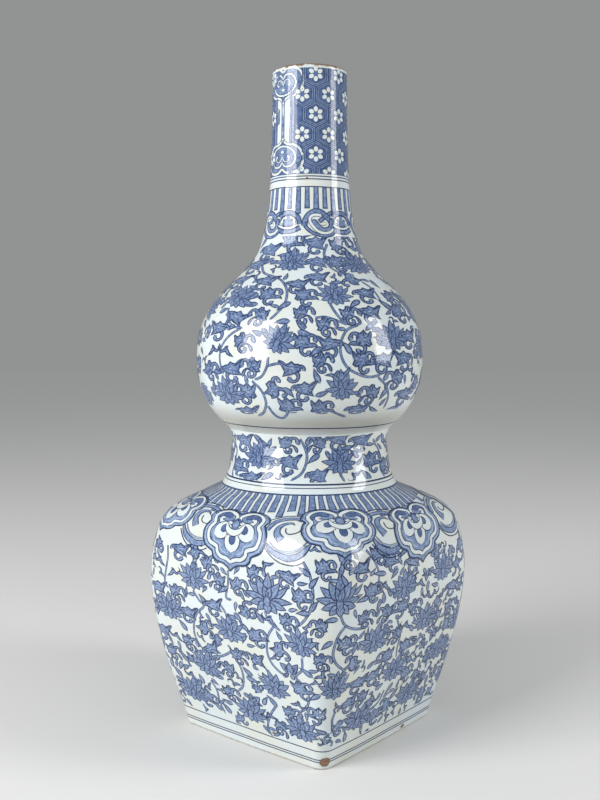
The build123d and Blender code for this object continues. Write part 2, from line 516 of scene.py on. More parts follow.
class Painting:
    """The paint of one zone, which becomes one piece for each paint.

    Its base is the layer that it starts from, and strong paint shows its second tone in more places.
    """

    def __init__(self, zone, skin, base=0, strong=False):
        self.zone = zone
        self.skin = skin
        self.base = base
        self.strong = strong
        self.sheets = {}
        self.normals = {}

    def press(self, stamp, carried):
        """Presses a stamp on the skin, each point where the map carries it."""
        for paint, mesh in stamp.items():
            sheet = self.sheets.get(paint)
            if sheet is None:
                sheet = self.sheets[paint] = new_sheet()
                self.normals[paint] = []
            start = len(sheet.verts)
            sheet.from_mesh(mesh)
            sheet.verts.ensure_lookup_table()
            number = sheet.verts.layers.float["layer"]
            for vert in sheet.verts[start:]:
                place, normal = self.skin.under(carried(vert.co))
                vert.co = place + normal * (PAINT_LIFT + LAYER_RISE * (self.base + vert[number]))
                self.normals[paint].append(normal)

    def trail(self, places, half_width, edge):
        """A stem along places on the skin."""
        drawing = {}
        line = smooth_points(places)
        spine = []
        for place, spot in enumerate(line):
            on_skin, normal = self.skin.under(spot)
            along = line[min(place + 1, len(line) - 1)] - line[max(place - 1, 0)]
            spine.append((place / (len(line) - 1), on_skin, normal.cross(along).normalized()))
        stroke(drawing, spine, half_width * MM, stem, edge=edge * MM)
        self.press(stamp_of(drawing), lambda point: point)

    def ring(self, paint, low, high, layer=0, steps=240, wander=0.0):
        """A painted line right round the vase."""
        drawing = {}
        rails = []
        for height in (low, high):
            rail = []
            for step in range(steps + 1):
                turn = FULL_TURN * step / steps
                sway = wander * (math.sin(3 * turn) + math.sin(7 * turn + 1)) / 2
                rail.append(self.skin.across(turn, height + sway)[0])
            rails.append(rail)
        strip(drawing, paint, rails[0], rails[1], layer)
        self.press(stamp_of(drawing), lambda point: point)

    def finish(self):
        """Makes the pieces."""
        for paint, sheet in self.sheets.items():
            mesh = bpy.data.meshes.new(f"{self.zone}_{paint}")
            sheet.to_mesh(mesh)
            sheet.free()
            mesh.shade_smooth()
            mesh.normals_split_custom_set_from_vertices(self.normals[paint])
            mesh.attributes.remove(mesh.attributes["layer"])
            mesh.materials.append(paint_material(paint, self.strong))
            piece = bpy.data.objects.new(f"{self.zone}_{paint}", mesh)
            bpy.context.scene.collection.objects.link(piece)
            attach(piece, BODY)


# Materials

# Widths of the glaze's duller and warmer patches and of its two waves, the fine wave's share of the wide
# one, and how deep both are
GLOSS_PATCH = 9 * MM
WARM_PATCH = 26 * MM
WIDE_WAVE = 16 * MM
FINE_WAVE = 2.4 * MM
FINE_SHARE = 0.16
WAVE_DEPTH = 0.5 * MM
# Shares of the set roughness where the glaze is glossiest and dullest, and the noise over which it turns
# from glossy to dull and from bluish to warm
ROUGHNESS_SHARES = (0.7, 1.5)
GLOSS_RANGE = (0.2, 0.9)
WARM_RANGE = (0.38, 0.66)
# Iron specks: the cells that they are spread over, their radius, and the share of the cells that hold one
SPECK_CELL = 13 * MM
SPECK_RADIUS = 0.32 * MM
SPECK_SHARE = 0.12
# The band above the crease, drawn greyer as painted shade under the upper bulb: where it is full, starts to
# fade and has faded
BAND_FULL = CREASE + 4 * MM
BAND_FADES = CREASE + 10 * MM
BAND_TOP = CREASE + 22 * MM
# Ragged heights between which the lip's glaze wears off, the foot's glaze starts and its bare body is burnt
LIP_WORN = (LIP + 0.5 * MM, LIP + 1.6 * MM)
FOOT_GLAZED = (-0.75 * MM, -0.35 * MM)
FOOT_BURNT = (-1.6 * MM, -0.8 * MM)
# Noise from which a paint turns to its second tone, the same where a zone is painted strong, and the range
# over which it turns
POOL_START = 0.36
STRONG_POOL_START = 0.27
POOL_RANGE = 0.37


def add_node(tree, kind, **values):
    """A node with its settings and its unlinked inputs set."""
    node = tree.nodes.new(kind)
    for key, value in values.items():
        if key in node.inputs:
            node.inputs[key].default_value = value
        else:
            setattr(node, key, value)
    return node


def noise(tree, place, wave, detail=2.0, roughness=0.5):
    """Soft blotches of about the given width, from 0 to 1."""
    node = add_node(tree, "ShaderNodeTexNoise", Scale=1 / wave, Detail=detail, Roughness=roughness)
    tree.links.new(place, node.inputs["Vector"])
    return node.outputs["Fac"]


def spread(tree, value, low, high):
    """Stretches the part of a value between low and high to the range from 0 to 1."""
    node = add_node(tree, "ShaderNodeMapRange")
    node.inputs["From Min"].default_value = low
    node.inputs["From Max"].default_value = high
    tree.links.new(value, node.inputs["Value"])
    return node.outputs["Result"]


def arithmetic(tree, operation, first, second):
    """One step of arithmetic, on links or plain numbers."""
    node = add_node(tree, "ShaderNodeMath", operation=operation)
    for socket, value in zip(node.inputs, (first, second)):
        if isinstance(value, (int, float)):
            socket.default_value = value
        else:
            tree.links.new(value, socket)
    return node.outputs["Value"]


def blend_colours(tree, share, first, second):
    """Mixes two colours, each a plain colour or a link."""
    node = add_node(tree, "ShaderNodeMix", data_type="RGBA")
    # Its sockets for colours share their names with those for numbers, so they go by their place
    tree.links.new(share, node.inputs[0])
    for socket, value in ((node.inputs[6], first), (node.inputs[7], second)):
        if isinstance(value, bpy.types.NodeSocket):
            tree.links.new(value, socket)
        else:
            socket.default_value = (*value, 1)
    return node.outputs[2]


def glaze_base(name):
    """A material with the glossy, slightly wavy surface that the whole vase shares."""
    settings = bpy.context.scene.vase_glaze
    material = bpy.data.materials.new(name)
    material.use_nodes = True
    tree = material.node_tree
    shader = tree.nodes["Principled BSDF"]
    place = add_node(tree, "ShaderNodeTexCoord").outputs["Object"]
    gloss = spread(tree, noise(tree, place, GLOSS_PATCH), *GLOSS_RANGE)
    rough = add_node(tree, "ShaderNodeMapRange")
    for end, share in zip(("To Min", "To Max"), ROUGHNESS_SHARES):
        rough.inputs[end].default_value = settings.roughness * share
    tree.links.new(gloss, rough.inputs["Value"])
    tree.links.new(rough.outputs["Result"], shader.inputs["Roughness"])
    wide = noise(tree, place, WIDE_WAVE, detail=1.0)
    fine = noise(tree, place, FINE_WAVE, detail=1.5)
    height = arithmetic(tree, "ADD", wide, arithmetic(tree, "MULTIPLY", fine, FINE_SHARE))
    bump = add_node(tree, "ShaderNodeBump", Strength=0.5, Distance=WAVE_DEPTH)
    tree.links.new(height, bump.inputs["Height"])
    tree.links.new(bump.outputs["Normal"], shader.inputs["Normal"])
    return material, tree, shader, place


def specks(tree, place, cell, size, share):
    """Round specks, one in a few of the cells, as a mask from 0 to 1."""
    node = add_node(tree, "ShaderNodeTexVoronoi", Scale=1 / cell)
    tree.links.new(place, node.inputs["Vector"])
    near = arithmetic(tree, "LESS_THAN", node.outputs["Distance"], size / cell)
    parts = add_node(tree, "ShaderNodeSeparateColor")
    tree.links.new(node.outputs["Color"], parts.inputs["Color"])
    chosen = arithmetic(tree, "LESS_THAN", parts.outputs["Red"], share)
    return arithmetic(tree, "MULTIPLY", near, chosen)


def white_colour(tree, place):
    """Bluish white glaze with warmer patches, iron specks and painted shade under the upper bulb."""
    settings = bpy.context.scene.vase_glaze
    patches = spread(tree, noise(tree, place, WARM_PATCH, detail=3.0), *WARM_RANGE)
    white = blend_colours(tree, patches, settings.white, settings.cream)
    parts = add_node(tree, "ShaderNodeSeparateXYZ")
    tree.links.new(place, parts.inputs["Vector"])
    # Painted shade: the band just above the crease, under the upper bulb, turns to the darker band colour
    above = spread(tree, parts.outputs["Z"], CREASE, BAND_FULL)
    below = spread(tree, parts.outputs["Z"], BAND_TOP, BAND_FADES)
    white = blend_colours(tree, arithmetic(tree, "MULTIPLY", above, below), white, settings.painted_shade)
    spots = specks(tree, place, SPECK_CELL, SPECK_RADIUS, SPECK_SHARE)
    return blend_colours(tree, spots, white, settings.speck)


def white_glaze():
    """Glaze over bare porcelain, for every section of the vase but the neck and the foot."""
    material, tree, shader, place = glaze_base("white_glaze")
    tree.links.new(white_colour(tree, place), shader.inputs["Base Color"])
    return material


def ragged_height(tree, place, operation, patch, depth):
    """The height of a place with noise added or taken away, for an edge of the glaze that isn't straight."""
    parts = add_node(tree, "ShaderNodeSeparateXYZ")
    tree.links.new(place, parts.inputs["Vector"])
    torn = noise(tree, place, patch, detail=4.0, roughness=0.65)
    return arithmetic(tree, operation, parts.outputs["Z"], arithmetic(tree, "MULTIPLY", torn, depth))


def lip_glaze():
    """The same glaze on the neck, worn to the brown body along the lip."""
    settings = bpy.context.scene.vase_glaze
    material, tree, shader, place = glaze_base("lip_glaze")
    worn = spread(tree, ragged_height(tree, place, "ADD", 3.5 * MM, 5.5 * MM), *LIP_WORN)
    brown = blend_colours(tree, noise(tree, place, 1.2 * MM), settings.worn, settings.speck)
    tree.links.new(blend_colours(tree, worn, white_colour(tree, place), brown), shader.inputs["Base Color"])
    return material


def foot_glaze():
    """The same glaze on the foot, wiped away underneath to the bare body."""
    settings = bpy.context.scene.vase_glaze
    material, tree, shader, place = glaze_base("foot_glaze")
    height = ragged_height(tree, place, "SUBTRACT", 4 * MM, 2.4 * MM)
    glazed = spread(tree, height, *FOOT_GLAZED)
    burnt = spread(tree, height, *FOOT_BURNT)
    bare = blend_colours(tree, burnt, settings.biscuit, settings.worn)
    tree.links.new(blend_colours(tree, glazed, bare, white_colour(tree, place)), shader.inputs["Base Color"])
    return material


def paint_material(paint, strong):
    """The material of one paint, which turns to a second tone here and there."""
    name = f"strong_{paint}" if strong else paint
    material = bpy.data.materials.get(name)
    if material:
        return material
    settings = bpy.context.scene.vase_glaze
    # Plain tone, second tone and the width of its patches in millimetres
    tones = {
        "wash": (settings.wash, settings.deep_wash, 2.2),
        "outline": (settings.outline, settings.soft_line, 1.5),
        "soft": (settings.soft_line, settings.outline, 1.5),
        "pale": (settings.pale, settings.wash, 5.0),
        "ground": (settings.ground, settings.soft_line, 4.0),
        "white": (settings.white, settings.cream, 9.0),
        "worn": (settings.worn, settings.speck, 1.6),
        "speck": (settings.speck, settings.worn, 1.0),
    }
    plain, second, patch = tones[paint]
    material, tree, shader, place = glaze_base(name)
    start = STRONG_POOL_START if strong else POOL_START
    pooled = spread(tree, noise(tree, place, patch * MM, detail=3.0), start, start + POOL_RANGE)
    tree.links.new(blend_colours(tree, pooled, plain, second), shader.inputs["Base Color"])
    return material


# Flowers and leaves of the scroll, drawn in units of about three quarters of a millimetre
UNIT = 0.78

# Petals of a flower: turn to the right from upright, length, half width, bend and layer
FULL_FLOWER = (
    (14, 24, 3.8, 0, 0), (2, 27, 4.8, 0, 1), (-24, 22.5, 4.9, 0, 2), (-47, 24.5, 4.3, 0, 1),
    (-74, 23.5, 4.0, 6, 2), (-104, 17.5, 4.1, 0, 3), (-136, 14, 4.1, 0, 4), (178, 12.5, 4.3, 0, 5),
    (140, 14, 4.1, 0, 4), (107, 18.5, 4.1, 0, 3), (82, 23.5, 3.8, -8, 2), (57, 26, 3.8, 22, 1),
    (32, 22.5, 4.7, 0, 2), (-10, 15.5, 3.3, 0, 6), (14, 15, 3.3, 0, 6),
)
OPEN_FLOWER = (
    (-6, 27, 4.5, 0, 1), (-30, 23, 4.6, 0, 2), (-55, 23.5, 4.2, 0, 1), (-84, 20, 4.0, 6, 2),
    (16, 23.5, 4.9, 0, 2), (42, 20, 4.7, 0, 1), (66, 21.5, 4.3, 10, 2), (100, 18, 3.9, -10, 3),
    (134, 13.5, 4.0, 0, 4), (-118, 14, 4.0, 0, 3), (-150, 12, 4.0, 0, 4), (172, 12, 4.2, 0, 5),
    (-16, 15, 3.4, 0, 6), (20, 14.5, 3.4, 0, 6),
)


def rib(*points):
    """A line drawn on the body of a leaf."""
    return points, 0.46, even, 2


def fold(*points):
    """A line drawn over the lobes of a leaf that has no body."""
    return points, 0.42, even, 5


def glint(half_width, *points):
    """The pale spot on the body of a leaf."""
    return points, half_width, bead, 3


# A leaf has its body, as two sides from the tip to the stalk, or None, and its strokes, which have their
# points, half width, shape and layer
HOOKED_LEAF = (
    (((-8, 5.5), (-5, 3.5), (-2.5, 5), (-2, 7.5), (0.5, 8), (2, 6), (3, 3), (4.5, 1)),
     ((-8, 5.5), (-7, 2), (-7, -0.5), (-5.5, -2.5), (-7, -4.5), (-3.5, -5.5), (0, -4.5), (4.5, -2.5))),
    (
        (((2, 1), (4, 4.5), (7, 5.5), (9.5, 3.5), (10, 0.5), (8.5, -1)), 2.9, hook, 1),
        (((1, -2.5), (-2, -4.5), (-2.5, -7.5), (0, -10), (3, -9.5), (2.5, -7), (1, -7)), 2.6, hook, 1),
        (((2.5, -1), (6, -3), (8.5, -6.5), (9.5, -10.5)), 1.8, drop, 0),
        glint(1.6, (-3.6, 0.6), (-2.2, 1), (-0.8, 1.2)),
        rib((-4.4, 2.4), (-6.6, 4.4)), rib((-1, 3.4), (-0.2, 6.6)), rib((0.4, -0.6), (3, -2.4)),
    ),
)
BROAD_LEAF = (
    (((12.5, 7.5), (9, 6.5), (5.5, 4), (3, 4.5), (0.5, 6.5), (-2, 4), (-5.5, 4), (-8, 2.5)),
     ((12.5, 7.5), (9, 2.5), (6.5, -2.5), (8.5, -7), (4.5, -5.5), (1, -5), (-3.5, -3), (-8, -1))),
    (
        (((-5.5, 1.5), (-8.5, 2.5), (-10.5, 0.5), (-9, -1.5)), 2.6, hook, 1),
        (((-2.5, -2), (-5.5, -5.5), (-4.5, -10), (-0.5, -11.5), (2.5, -9.5), (0.5, -7)), 2.7, hook, 0),
        glint(1.7, (-1.8, 0.2), (-0.2, 0.6), (1.4, 0.8)),
        rib((-3, 1.4), (-6.4, 1.6)), rib((3, 2.2), (7, 3.5), (10.5, 6)), rib((3, -1), (6.6, -4.8)),
    ),
)
CROOK_LEAF = (
    (((-8.5, 9), (-5.5, 6), (-3.5, 6.5), (-1.5, 10), (1.5, 7), (3.5, 6), (5.5, 3.5), (5.5, 0)),
     ((-8.5, 9), (-8, 4.5), (-6.5, 1), (-8, -3), (-5.5, -5), (-2.5, -3.5), (1, -4.5), (5.5, -3.5))),
    (
        (((2.5, 4.5), (6, 7), (9.5, 6.5), (11, 3), (9, 1)), 2.9, hook, 1),
        (((2.5, -1), (7, -2), (11, -2), (14, -4.5)), 2.43, lobe, 0),
        (((-1, -3.5), (-1.5, -8), (2, -11), (5, -9), (4, -6.5)), 2.7, hook, 1),
        glint(1.7, (-2.8, 0.8), (-1.4, 1.2), (0.2, 1.4)),
        rib((-4, 3.4), (-7.4, 7.6)), rib((-1.2, 4.4), (-1.2, 8.4)),
        rib((-3.6, -0.8), (-6.6, -3)), rib((2, -0.6), (5, -2)),
    ),
)
BIRD_LEAF = (
    (((-11, -1), (-7, 0.5), (-4.5, 2.5), (-5, 6.5), (-1, 8), (2.5, 6), (3, 2.5), (4, 0)),
     ((-11, -1), (-7, -2.5), (-4.5, -5.5), (-6, -7.5), (-1, -8), (2, -6), (2.5, -3.5), (4, -1.5))),
    (
        (((1, 4.5), (3, 9), (6.5, 9), (7, 6), (5, 4.5)), 2.7, hook, 0),
        (((2.5, -1), (6.5, -2.5), (9, -6.5), (6.5, -9), (3.5, -7.5)), 2.7, hook, 0),
        glint(1.6, (-3.6, -1), (-2.2, -0.6), (-0.8, -0.4)),
        rib((-4.8, -1), (-9, -1)), rib((-2.4, 1.8), (-1.6, 5.8)), rib((-3, -3), (-3.6, -6.4)),
    ),
)
TRAIL_LEAF = (
    (((9, 8.5), (5.5, 7.5), (3.5, 6), (0, 8.5), (-2, 5.5), (-2.5, 3), (-4.5, 1), (-4.5, -1)),
     ((9, 8.5), (7.5, 4.5), (6, 1.5), (8.5, -5), (4.5, -4), (2, -2.5), (-1, -4), (-4.5, -2.5))),
    (
        (((-2, 1), (-4, 5), (-8, 7), (-11.5, 5), (-10, 2)), 2.7, hook, 1),
        (((1, -2), (-2.5, -5), (-2.5, -8.5), (2, -10)), 2.16, drop, 0),
        glint(1.6, (0.2, 0.8), (1.6, 1.2), (3, 1.4)),
        rib((4, 3.2), (7.6, 6.8)), rib((0.8, 3.6), (0.2, 6.6)), rib((4, 0), (6.8, -3)),
    ),
)
FLEUR_LEAF = (
    None,
    (
        (((0, -4), (-3, -7), (-7, -11)), 2.4, drop, 0),
        (((1, -4), (2.5, -7), (3, -12)), 2.6, drop, 0),
        (((1, -4), (-4, 1), (-9, 5)), 4.2, lobe, 1),
        (((1, -4), (5, 1), (10, 8)), 4.2, lobe, 1),
        (((1, -4), (1, 1), (1, 8)), 4.1, lobe, 2),
        fold((-1, -3), (-4, -0.5), (-3, 2), (-1, 0.6)), fold((3, -3), (6, 0), (5, 3), (2.6, 1)),
    ),
)
MITTEN_LEAF = (
    None,
    (
        (((4, -2), (8, -4), (11, -6)), 1.6, lobe, 0),
        (((0, -1), (-4, 2), (-8.5, 5)), 2.7, drop, 1),
        (((2, -2), (4, -5), (4, -10)), 2.6, drop, 1),
        (((1, -3), (0, 2), (-0.5, 7.5)), 3.5, lobe, 1),
        (((2, -3), (5, 1), (9.5, 5.5)), 4.2, lobe, 2),
        fold((1, -3), (4.6, -1.6), (5, 1.6), (2.6, 2.2), (2, 0)),
    ),
)
TWIN_LEAF = (
    None,
    (
        (((2, -1), (-2, 3), (-7, 8)), 3.2, lobe, 1),
        (((-5, -3), (1, -5), (8, -6)), 3.3, petal, 2),
    ),
)
BUD_LEAF = (None, ((((-5, 6.5), (0, 1), (4.5, -6)), 3.0, drop, 1),))
CURL_LEAF = (
    None,
    (
        (((-1, 0), (0, 3), (2, 5)), 2.0, lobe, 0),
        (((-6, 7), (-8.5, 4), (-5, -0.5), (0, 1.5), (2, -2), (7.5, -5.5)), 2.1, drop, 1),
    ),
)
LEAVES = {
    "hooked": HOOKED_LEAF, "broad": BROAD_LEAF, "bird": BIRD_LEAF, "crook": CROOK_LEAF,
    "fleur": FLEUR_LEAF, "trail": TRAIL_LEAF, "mitten": MITTEN_LEAF, "twin": TWIN_LEAF,
    "bud": BUD_LEAF, "curl": CURL_LEAF,
}
# Room that each flower or leaf takes, as a radius in the same units
ROOM = {
    "full": 16, "open": 15, "hooked": 9.5, "broad": 10.5, "bird": 9.5, "crook": 10.5, "fleur": 9,
    "trail": 10.5, "mitten": 9, "twin": 7, "bud": 4.4, "curl": 5.6,
}
# Kinds, size and clear room of the flowers and leaves that fill what is left of a scroll
FILLERS = (
    (("full", "open"), 0.8, 7.5),
    (("hooked", "broad", "crook", "bird", "fleur", "trail", "mitten"), 0.95, 0.2),
    (("hooked", "broad", "crook", "bird", "trail"), 0.74, 0.0),
    (("bud", "curl", "twin"), 0.9, -0.1),
    (("bud", "curl"), 0.7, -0.2),
)
# How much wider the fillers are drawn, and the share of their room that they keep from the scroll's edges
FILLER_STRETCH = 1.1
FILLER_MARGIN = 0.8
# Share of its room that a motif's copy on the opposite side has to find free
COPY_SHARE = 0.7
# The most that a motif is widened on a side that is turned away from the camera
WIDEST = 1.38
# The pod, how far from its middle the petals start, drawn edges and the half widths of lines, in the same
# units
POD_RADIUS = 3.8
PETAL_START = 1.5
PETAL_EDGE = 1.08
MOTIF_EDGE = 1.15
GLINT_EDGE = 0.7
MOTIF_VEIN = 0.34
BODY_LINE = 0.8
# Stems, in millimetres
STEM_HALF_WIDTH = 1.0
STEM_EDGE = 0.45


def flower_drawing(petals):
    """A lotus: pointed petals in layers round a small pod."""
    drawing = {}
    for turn, reach, half_width, bend, layer in petals:
        heading = 90 - turn
        ahead = math.radians(heading)
        start = (PETAL_START * math.cos(ahead), PETAL_START * math.sin(ahead))
        spine = curl(start, heading, reach - PETAL_START, bend)
        stroke(drawing, spine, half_width, petal, layer, edge=PETAL_EDGE, vein=MOTIF_VEIN)
    top_layer = max(row[-1] for row in petals) + 1
    pod = curl((0, -POD_RADIUS - 1.6), 90, 2 * POD_RADIUS + 2.6)
    stroke(drawing, pod, POD_RADIUS, bead, top_layer, edge=PETAL_EDGE)
    return drawing


def leaf_body(drawing, sides, layer):
    """The body of a leaf between its two sides, with both sides drawn."""
    rails = [[Vector((x, y, 0)) for x, y in side] for side in sides]
    loop = rails[0] + rails[1][::-1]
    area = sum(here.x * there.y - there.x * here.y for here, there in zip(loop, loop[1:] + loop[:1]))
    if area < 0:
        rails.reverse()
    strip(drawing, "wash", rails[0], rails[1], layer, rows=2)
    for side in sides:
        stroke(drawing, through(side, 1), BODY_LINE, even, layer, inside="outline", edge=0)


def leaf_drawing(leaf):
    """A leaf: its body, lobes, hooks and stalk."""
    drawing = {}
    sides, strokes = leaf
    if sides:
        leaf_body(drawing, sides, 1)
    for points, half_width, shape, layer in strokes:
        if shape is even:
            stroke(drawing, through(points, 2), half_width, shape, layer, inside="outline", edge=0)
        elif shape is bead:
            stroke(drawing, through(points, 2), half_width, shape, layer, inside="pale", edge=GLINT_EDGE)
        else:
            vein = MOTIF_VEIN if shape is lobe else 0.0
            spine = through(points, 2 if len(points) > 3 else 4)
            stroke(drawing, spine, half_width, shape, layer, edge=MOTIF_EDGE, vein=vein)
    return drawing


def scroll_stamps():
    """All the motifs of the scroll, each with its mirror image, whose name ends in _left."""
    stamps = {}
    for ending, flip in (("", False), ("_left", True)):
        stamps["full" + ending] = stamp_of(flower_drawing(FULL_FLOWER), flip)
        stamps["open" + ending] = stamp_of(flower_drawing(OPEN_FLOWER), flip)
        for name, leaf in LEAVES.items():
            stamps[name + ending] = stamp_of(leaf_drawing(leaf), flip)
    return stamps


def room_of(kind, size):
    """The room that a motif takes, as a radius in millimetres."""
    return ROOM[kind.split("_")[0]] * size * UNIT


def half_turned(place):
    """The same place on the opposite side of the vase."""
    return Vector((-place.x, -place.y, place.z))


class Scroll:
    """A scroll of flowers, leaves and stems over one zone."""

    def __init__(self, zone, skin, low, high, strong=False):
        self.painting = Painting(zone, skin, strong=strong)
        self.skin = skin
        self.low = low
        self.high = high
        self.taken = []
        self.stamps = scroll_stamps()

    def free(self, place, room):
        """Whether a motif that takes that room fits at a place."""
        for other, radius in self.taken:
            if (other - place).length < (room + radius) * MM:
                return False
        return True

    def motif(self, kind, place, normal, turn, size, stretch):
        """One flower or leaf, drawn wider where the side turns away from the camera."""
        carried = spot_map(place, normal, 0.0, size * UNIT)
        lean = Matrix.Rotation(turn, 3, "Z")
        widen = Vector((stretch, 1, 1))

        def kept(point):
            spot = carried((lean @ point) * widen)
            spot.z = min(max(spot.z, self.low), self.high)
            return spot

        self.painting.press(self.stamps[kind], kept)
        self.taken.append((place, room_of(kind, size)))

    def motifs(self, rows, size=1.0):
        """Motifs at pixels of the photograph, and the same on the opposite side."""
        found = []
        for kind, across_pixel, down_pixel, degrees in rows:
            seen = self.skin.seen((across_pixel, down_pixel))
            if seen:
                found.append((kind, *seen, math.radians(degrees), widening(seen[1])))
        for kind, place, normal, turn, stretch in found:
            self.motif(kind, place, normal, turn, size, stretch)
        for kind, place, normal, turn, stretch in found:
            place, normal = self.skin.under(half_turned(place))
            if self.free(place, room_of(kind, size) * COPY_SHARE):
                self.motif(kind, place, normal, turn, size, stretch)

    def stems(self, rows):
        """Stems through pixels of the photograph, and the same on the opposite side."""
        for row in rows:
            seen = [self.skin.seen(pixel) for pixel in row]
            places = [found[0] for found in seen if found]
            for side in (places, [half_turned(place) for place in places]):
                self.painting.trail(side, STEM_HALF_WIDTH, STEM_EDGE)
                for place in smooth_points(side, 2):
                    self.taken.append((place, STEM_HALF_WIDTH))

    def fill(self, seed, tries):
        """Flowers and leaves in the room that is left, the larger ones first."""
        chance = random.Random(seed)
        for kinds, size, gap in FILLERS:
            for attempt in range(tries):
                kind = chance.choice(kinds) + chance.choice(("", "_left"))
                turn = chance.uniform(0, FULL_TURN)
                height = chance.uniform(self.low, self.high)
                lean = chance.uniform(0, FULL_TURN)
                place, normal = self.skin.across(turn, height)
                room = room_of(kind, size)
                margin = FILLER_MARGIN * room * MM
                inside = self.low + margin < height < self.high - margin
                if inside and self.free(place, room + gap):
                    self.motif(kind, place, normal, lean, size, FILLER_STRETCH)

    def paint(self, settings, flowers, stems, leaves):
        """The drawn flowers, stems and leaves, then the fillers between them, and makes the pieces."""
        self.motifs(flowers, settings.flower_size)
        self.stems(stems)
        self.motifs(leaves, settings.leaf_size)
        self.fill(settings.seed, settings.tries)
        self.painting.finish()


def widening(normal):
    """How much wider a motif is drawn on a side that is turned away from the camera."""
    view = camera_place()
    flat = Vector((normal.x, normal.y)).normalized()
    share = abs(flat.dot(Vector((view.x, view.y)).normalized()))
    return min(WIDEST, 1 / max(share, 0.2))


# Cloud heads, volutes and bars

# Room that a head or a volute takes, as a radius in millimetres
COLLAR_ROOM = 24
# How heads and volutes are stretched and shifted on the shoulder
HEAD_STRETCH = Vector((1.07, 1.09, 1))
VOLUTE_STRETCH = Vector((1.28, 1.06, 1))
VOLUTE_SHIFT = Vector((3, 2.3, 0))
# Widths of the bars in millimetres, the length of the shoulder's short bars as a share of its long ones',
# and how much further down the neck's long bars reach than its short ones
LONG_BAR_WIDTH = 4.3
SHORT_BAR_WIDTH = 5.0
NECK_BAR_WIDTH = 3.9
SHORT_BAR_SHARE = 0.76
NECK_BAR_STEP = 4
# Right side of a cloud head, from its lower point up to the notch, in millimetres
HEAD_OUTLINE = (
    (0, -25.4), (3, -22.6), (7.4, -20.6), (12.4, -20), (16.8, -17.4), (18, -13.6), (21.4, -11.8),
    (25.6, -9.4), (28, -4.2), (28, 2), (25.6, 7), (24.2, 9.4), (26.2, 13.6), (22.8, 18.8), (15, 21.4),
    (6.6, 20.6), (0, 16.8),
)
# Where its wash ends instead, straight across the notch
HEAD_WASH_END = ((15, 20.6), (5.6, 20))
# The white band runs up its side, over the top and curls in under itself
HEAD_WHITE = (
    (0, -18.8), (4.4, -16.9), (9.4, -16), (12.9, -13.2), (13.6, -9.8), (16.8, -8.4), (21.2, -6.6),
    (23.2, -2), (22.6, 3), (19.6, 7), (20.8, 11), (20.8, 14.6), (17.6, 17.8), (12, 18.9), (6, 17.6),
    (2, 14.4), (1.8, 10.8), (5, 8.2), (10, 7.6), (14.4, 9.2), (15, 12), (12.4, 12.8),
)
# The blue comma inside the curl of the white band
HEAD_COMMA = ((18, 8.8), (18.9, 12.6), (16.2, 15.2), (12, 15.9), (8.6, 14.6), (6.4, 12.2))


def both_sides(drawing, points, half_width, shape, layer, **paints):
    """A stroke and its mirror image."""
    for side in (points, mirrored(points)):
        stroke(drawing, through(side), half_width, shape, layer, **paints)


def head_drawing():
    """A cloud head: nested blue and white bands round three petals, with two curls on top."""
    drawing = {}
    fill(drawing, "wash", HEAD_OUTLINE[:-3] + HEAD_WASH_END, 0, rows=20)
    both_sides(drawing, HEAD_OUTLINE, 0.62, even, 3, edge=0, inside="outline")
    outer_middle = [(x * 0.92, y * 0.91) for x, y in HEAD_OUTLINE[1:-2]]
    both_sides(drawing, outer_middle, 0.6, bead, 3, edge=0, inside="pale")
    both_sides(drawing, HEAD_WHITE, 1.9, even, 4, inside="white", edge=0.62)
    inner_middle = [(x * 0.8, y * 0.78) for x, y in HEAD_WHITE[1:9]]
    both_sides(drawing, inner_middle, 0.9, bead, 3, edge=0, inside="pale")
    both_sides(drawing, HEAD_COMMA, 2.9, drop, 5, inside="ground", edge=0.6, rows=3)
    # White petals with a blue drop in each
    white_petal = {"inside": "white", "edge": 0.75, "rows": 8}
    blue_drop = {"inside": "ground", "edge": 0.55, "rows": 3}
    stroke(drawing, through(((0, 3.5), (0, -4.4), (0, -12.4))), 7.4, bead, 5, **white_petal)
    stroke(drawing, through(((0, 0.4), (0, -3.4), (0, -7.4))), 3.1, bead, 6, **blue_drop)
    both_sides(drawing, ((3.4, 5.6), (10.8, 2.2), (17.6, -1.4)), 6.6, bead, 5, **white_petal)
    both_sides(drawing, ((4.6, 5.6), (8.4, 3.8), (12.2, 1.6)), 2.9, bead, 6, **blue_drop)
    # The seed in the middle
    seed = through(((-8, 8), (-5.6, 3), (0, 1), (5.6, 3), (8, 8)))
    stroke(drawing, seed, 2.6, bead, 7, inside="white", edge=0.62, rows=3)
    stroke(drawing, through(((0, 4), (0, 7), (0, 10.4))), 3.6, bead, 8, inside="wash", edge=0.9, rows=3)
    both_sides(drawing, ((-5, 8.6), (-2, 10.4), (0, 12.6)), 1.0, bead, 8, inside="ground", edge=0.4)
    return drawing


